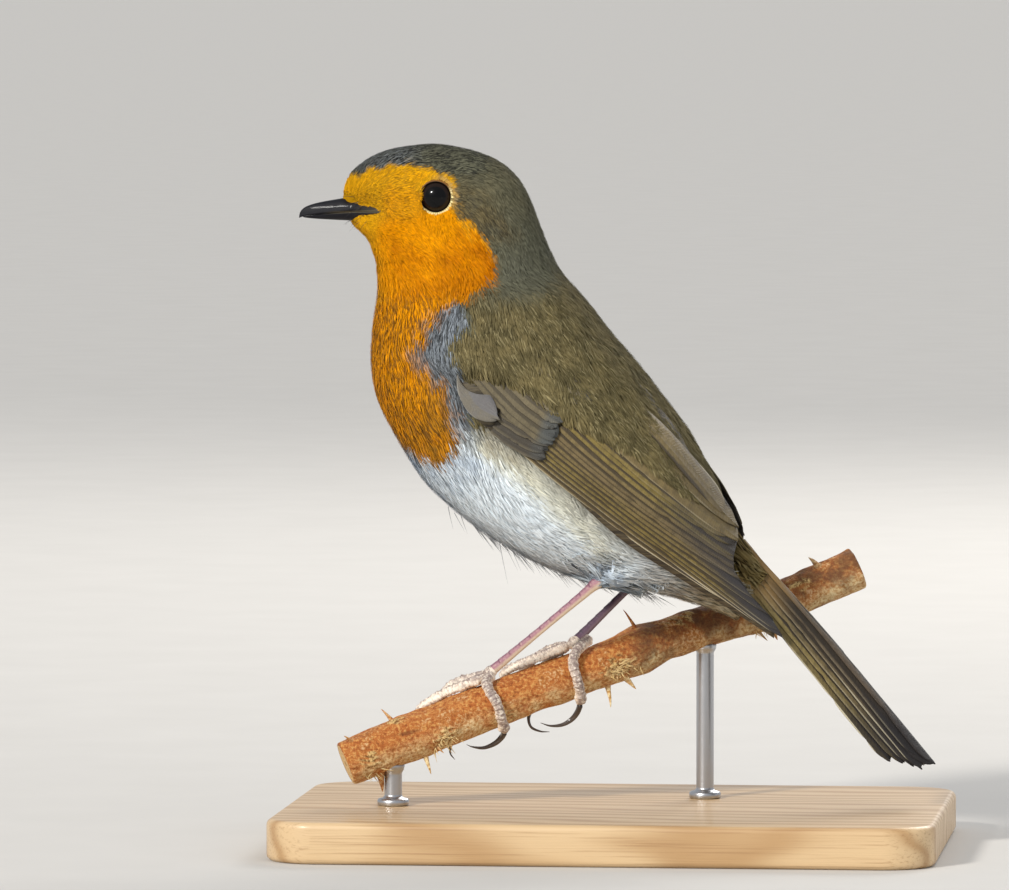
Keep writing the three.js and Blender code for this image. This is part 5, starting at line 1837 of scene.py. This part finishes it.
def addLeg(side, leg, shinFinish, toeFinish, claws):
    # tarsus from the thigh to the branch, four toes round the branch and their claws
    ankle = onBark([leg["ankle"]])[0][0]
    heel = np.array(leg["heel"])
    shin = heel + (ankle - heel) * shares(90)
    above = heel + (np.array(leg["above"]) - heel) * np.linspace(1, 0, 20, endpoint=False)[:, None]
    path = curveThrough(np.vstack([above[::10], shin[::11]]), 130)
    s = shares(130)
    toHeel = lengthOf(path - heel)
    radius = 0.75 * (1.13 - 0.28 * np.sin(np.pi * np.clip(s * 1.25 - 0.25, 0, 1)))
    radius = radius + 0.22 * bump(0, 1.3, toHeel)
    forward = np.array([-0.75, 0.0, 0.66])
    shinPart = legPart(path, forward, radius, 13, 0.07, 0, 0.86)
    addPart(f"tarsus_scaled_{side}", shinPart, shinFinish, "leg_skin", "leg", f"tarsus_{side}")
    parts = []
    ball = np.linspace(-1.75, 1.75, 30)[:, None]
    swell = np.sqrt(np.maximum(1 - (ball / 1.76) ** 2, 0.0))
    pad = ankle + 0.75 * ball * unit(heel - ankle)
    parts.append(legPart(pad, forward, 1.04 * swell + 0.02, 3, 0.05, 0))
    for n, (girth, line, claw) in enumerate(leg["toes"]):
        points, outs = onBark(line)
        path = curveThrough(points, 110)
        outs = curveThrough(points * 0 + outs, 110)
        s = shares(110)
        knuckles = 0.08 * np.cos(2 * np.pi * s * (3 if n else 2)) ** 4
        end = np.sqrt(np.clip((1.015 - s) / 0.06, 0.03, 1))
        knuckles = knuckles + (0.26 if n == 0 else 0.12) * bump(0.93, 0.07, s)
        radius = (girth * (1.08 - 0.17 * s) + knuckles) * (0.55 + 0.45 * end)
        parts.append(legPart(path, outs, 0.94 * radius, 14 if n else 16, 0.13, 3.5, 0.94))
        points, outs = onBark(claw)
        path = curveThrough(points, 60)
        outs = curveThrough(outs, 60)
        s = shares(60)
        thin = girth * (0.66 - 0.63 * s**1.15) * np.sqrt(np.clip(s / 0.04 + 0.3, 0, 1)) + 0.02
        rings = tube(path, outs, thin, 20, 0.68)
        tone = np.repeat(stacked(s, 0 * thin, 0, 1), 20, axis=1)
        horn = closedPart(rings, tone)
        addPart(f"claw_horn_{side}_{n + 1}", horn, claws, "claw_horn", "leg", f"claw_{side}_{n + 1}")
    addPart(f"toes_{side}", joined(parts), toeFinish, "leg_skin", "leg", f"foot_{side}")


toeFinish = legFinish("toe_skin", (226, 208, 190), (104, 84, 84), (246, 236, 218), 1.0)
shinFinishes = {
    "left": legFinish("near_tarsus_skin", (164, 118, 128), (102, 62, 84), (228, 210, 180), 0.3),
    # the far leg: the same skin darker, painted shade of the body
    "right": legFinish("far_tarsus_painted_shade", (88, 64, 82), (46, 32, 46), (128, 106, 112), 0.3),
}
clawsFinish = clawFinish()
for side, leg in legs.items():
    addLeg(side, leg, shinFinishes[side], toeFinish, clawsFinish)
report("legs and feet")

stand = {
    "length": 112.0,
    "width": 78.0,
    "height": 7.0,
    "corner": 9.0,
    "edge": 1.1,  # radius of the rounded rims
    "rods": (-37.5, 14.0),
    "rodRadius": 1.5,
    "collar": 2.7,
}


def woodFinish():
    # planed pale wood under a satin varnish: rings of a log cut lengthwise, pores and growth bands
    paint = Finish("stand_ash_wood")
    bent = paint.noise(paint.place((0.012, 0.05, 0.05)), 1, 2)
    rings = paint.node("SeparateXYZ", {}, {0: paint.place(turn=(0, 0, math.radians(2)))}, "Y")
    bands = paint.sum("SINE", rings * 1.15 + bent * 22)
    grain = paint.noise(paint.place((0.04, 2.2, 2.2)), 0.8, 4)
    colour = paint.layers(
        (206, 176, 134),
        ((bands * 0.5 + 0.5) ** 2.0, (178, 142, 98)),
        (grain.between(0.5, 0.72) * 0.5, (150, 112, 72)),
    )
    varnish = {"Coat Weight": 0.25, "Coat Roughness": 0.2}
    return paint.surface(colour, 0.36 + 0.22 * grain, paint.relief(grain, 0.05), varnish)


def steelFinish():
    # steel brushed round the rod, with faint smears
    paint = Finish("stand_brushed_steel")
    brushed, smear = paint.noise(paint.place((0.3, 0.3, 9)), 0.8, 3), paint.noise(paint.place(), 6, 3)
    colour = paint.blend(smear, (176, 178, 182), (200, 201, 204))
    rough = 0.24 + 0.12 * brushed + 0.1 * smear
    return paint.surface(colour, rough, paint.relief(brushed, 0.012), {"Metallic": 1.0})


def roundedLoop(inset, perCorner):
    # a rectangle with round corners, drawn in by inset
    halfLong, halfWide = stand["length"] / 2 - stand["corner"], stand["width"] / 2 - stand["corner"]
    radius = stand["corner"] - inset
    turn = circle(4 * perCorner) + np.pi / 4 / perCorner
    right, up = np.sign(np.cos(turn)), np.sign(np.sin(turn))
    return stacked(right * halfLong + radius * np.cos(turn), up * halfWide + radius * np.sin(turn))


def addBase():
    # loops up the side: the rims are quarter circles; the top and bottom shrink to their middles
    edge, high = stand["edge"], stand["height"]
    quarter = np.linspace(0, np.pi / 2, 7)
    lower = [(edge * (1 - math.sin(a)), edge * (1 - math.cos(a))) for a in quarter]
    upper = [(edge * (1 - math.cos(a)), high - edge * (1 - math.sin(a))) for a in quarter]
    rows = lower + upper
    rings = np.stack([np.column_stack([roundedLoop(inset, 14), np.full(56, z)]) for inset, z in rows])
    shrink = lambda ring: np.stack([ring * (share, share, 1) for share in (0.3, 0.75)])
    rings = np.concatenate([shrink(rings[0]), rings, shrink(rings[-1])[::-1]])
    points, faces, places = ringed(rings)
    # the map: the top, the bottom and the side each in their own part
    across = points[:, :2] / np.array([stand["length"], stand["width"]]) + 0.5
    strips = []
    for loops, place in zip(faces, places):
        spots = points[loops]
        flat = across[loops]
        z = spots[..., 2].mean(1)
        top, bottom = z > high - 0.05, z < 0.05
        side = stacked(place[..., 0], 0.9 + 0.09 * (spots[..., 2] / high))
        mapped = np.where(top[:, None, None], flat * (0.49, 0.88), side)
        strips.append(np.where(bottom[:, None, None], flat * (0.49, 0.88) + (0.505, 0), mapped))
    makePiece("base_board", points, faces, woodFinish(), "stand_wood", strips, nodes=("stand_base",))


def addRod(n, x, finish):
    # a rod with a rounded collar on the board and a small cup under the branch
    middle, _, _, girth = onPerch(x, 180)
    foot, top = stand["height"] + 0.02, middle[2] - girth + 0.7
    r, wide = stand["rodRadius"], stand["collar"]
    profile = [
        (0.3, foot), (wide - 0.2, foot), (wide, foot + 0.2), (wide, foot + 0.9), (wide - 0.25, foot + 1.2),
        (r + 0.35, foot + 1.3), (r, foot + 1.65), (r, foot + 1.9), (r, top - 2.0), (r, top - 1.7),
        (r + 0.3, top - 1.2), (r + 0.45, top - 0.6), (r + 0.4, top - 0.15), (0.3, top - 0.1),
    ]
    turn = circle(48)
    around = stacked(np.cos(turn), np.sin(turn), 0)
    rings = np.stack([(middle[0], middle[1], z) + a * around for a, z in profile])
    points, faces, places = ringed(rings)
    makePiece(f"rod_{n}", points, faces, finish, "stand_steel", places, nodes=(f"stand_rod_{n}",))


addBase()
steel = steelFinish()
for n, x in enumerate(stand["rods"], 1):
    addRod(n, x, steel)
report("stand")
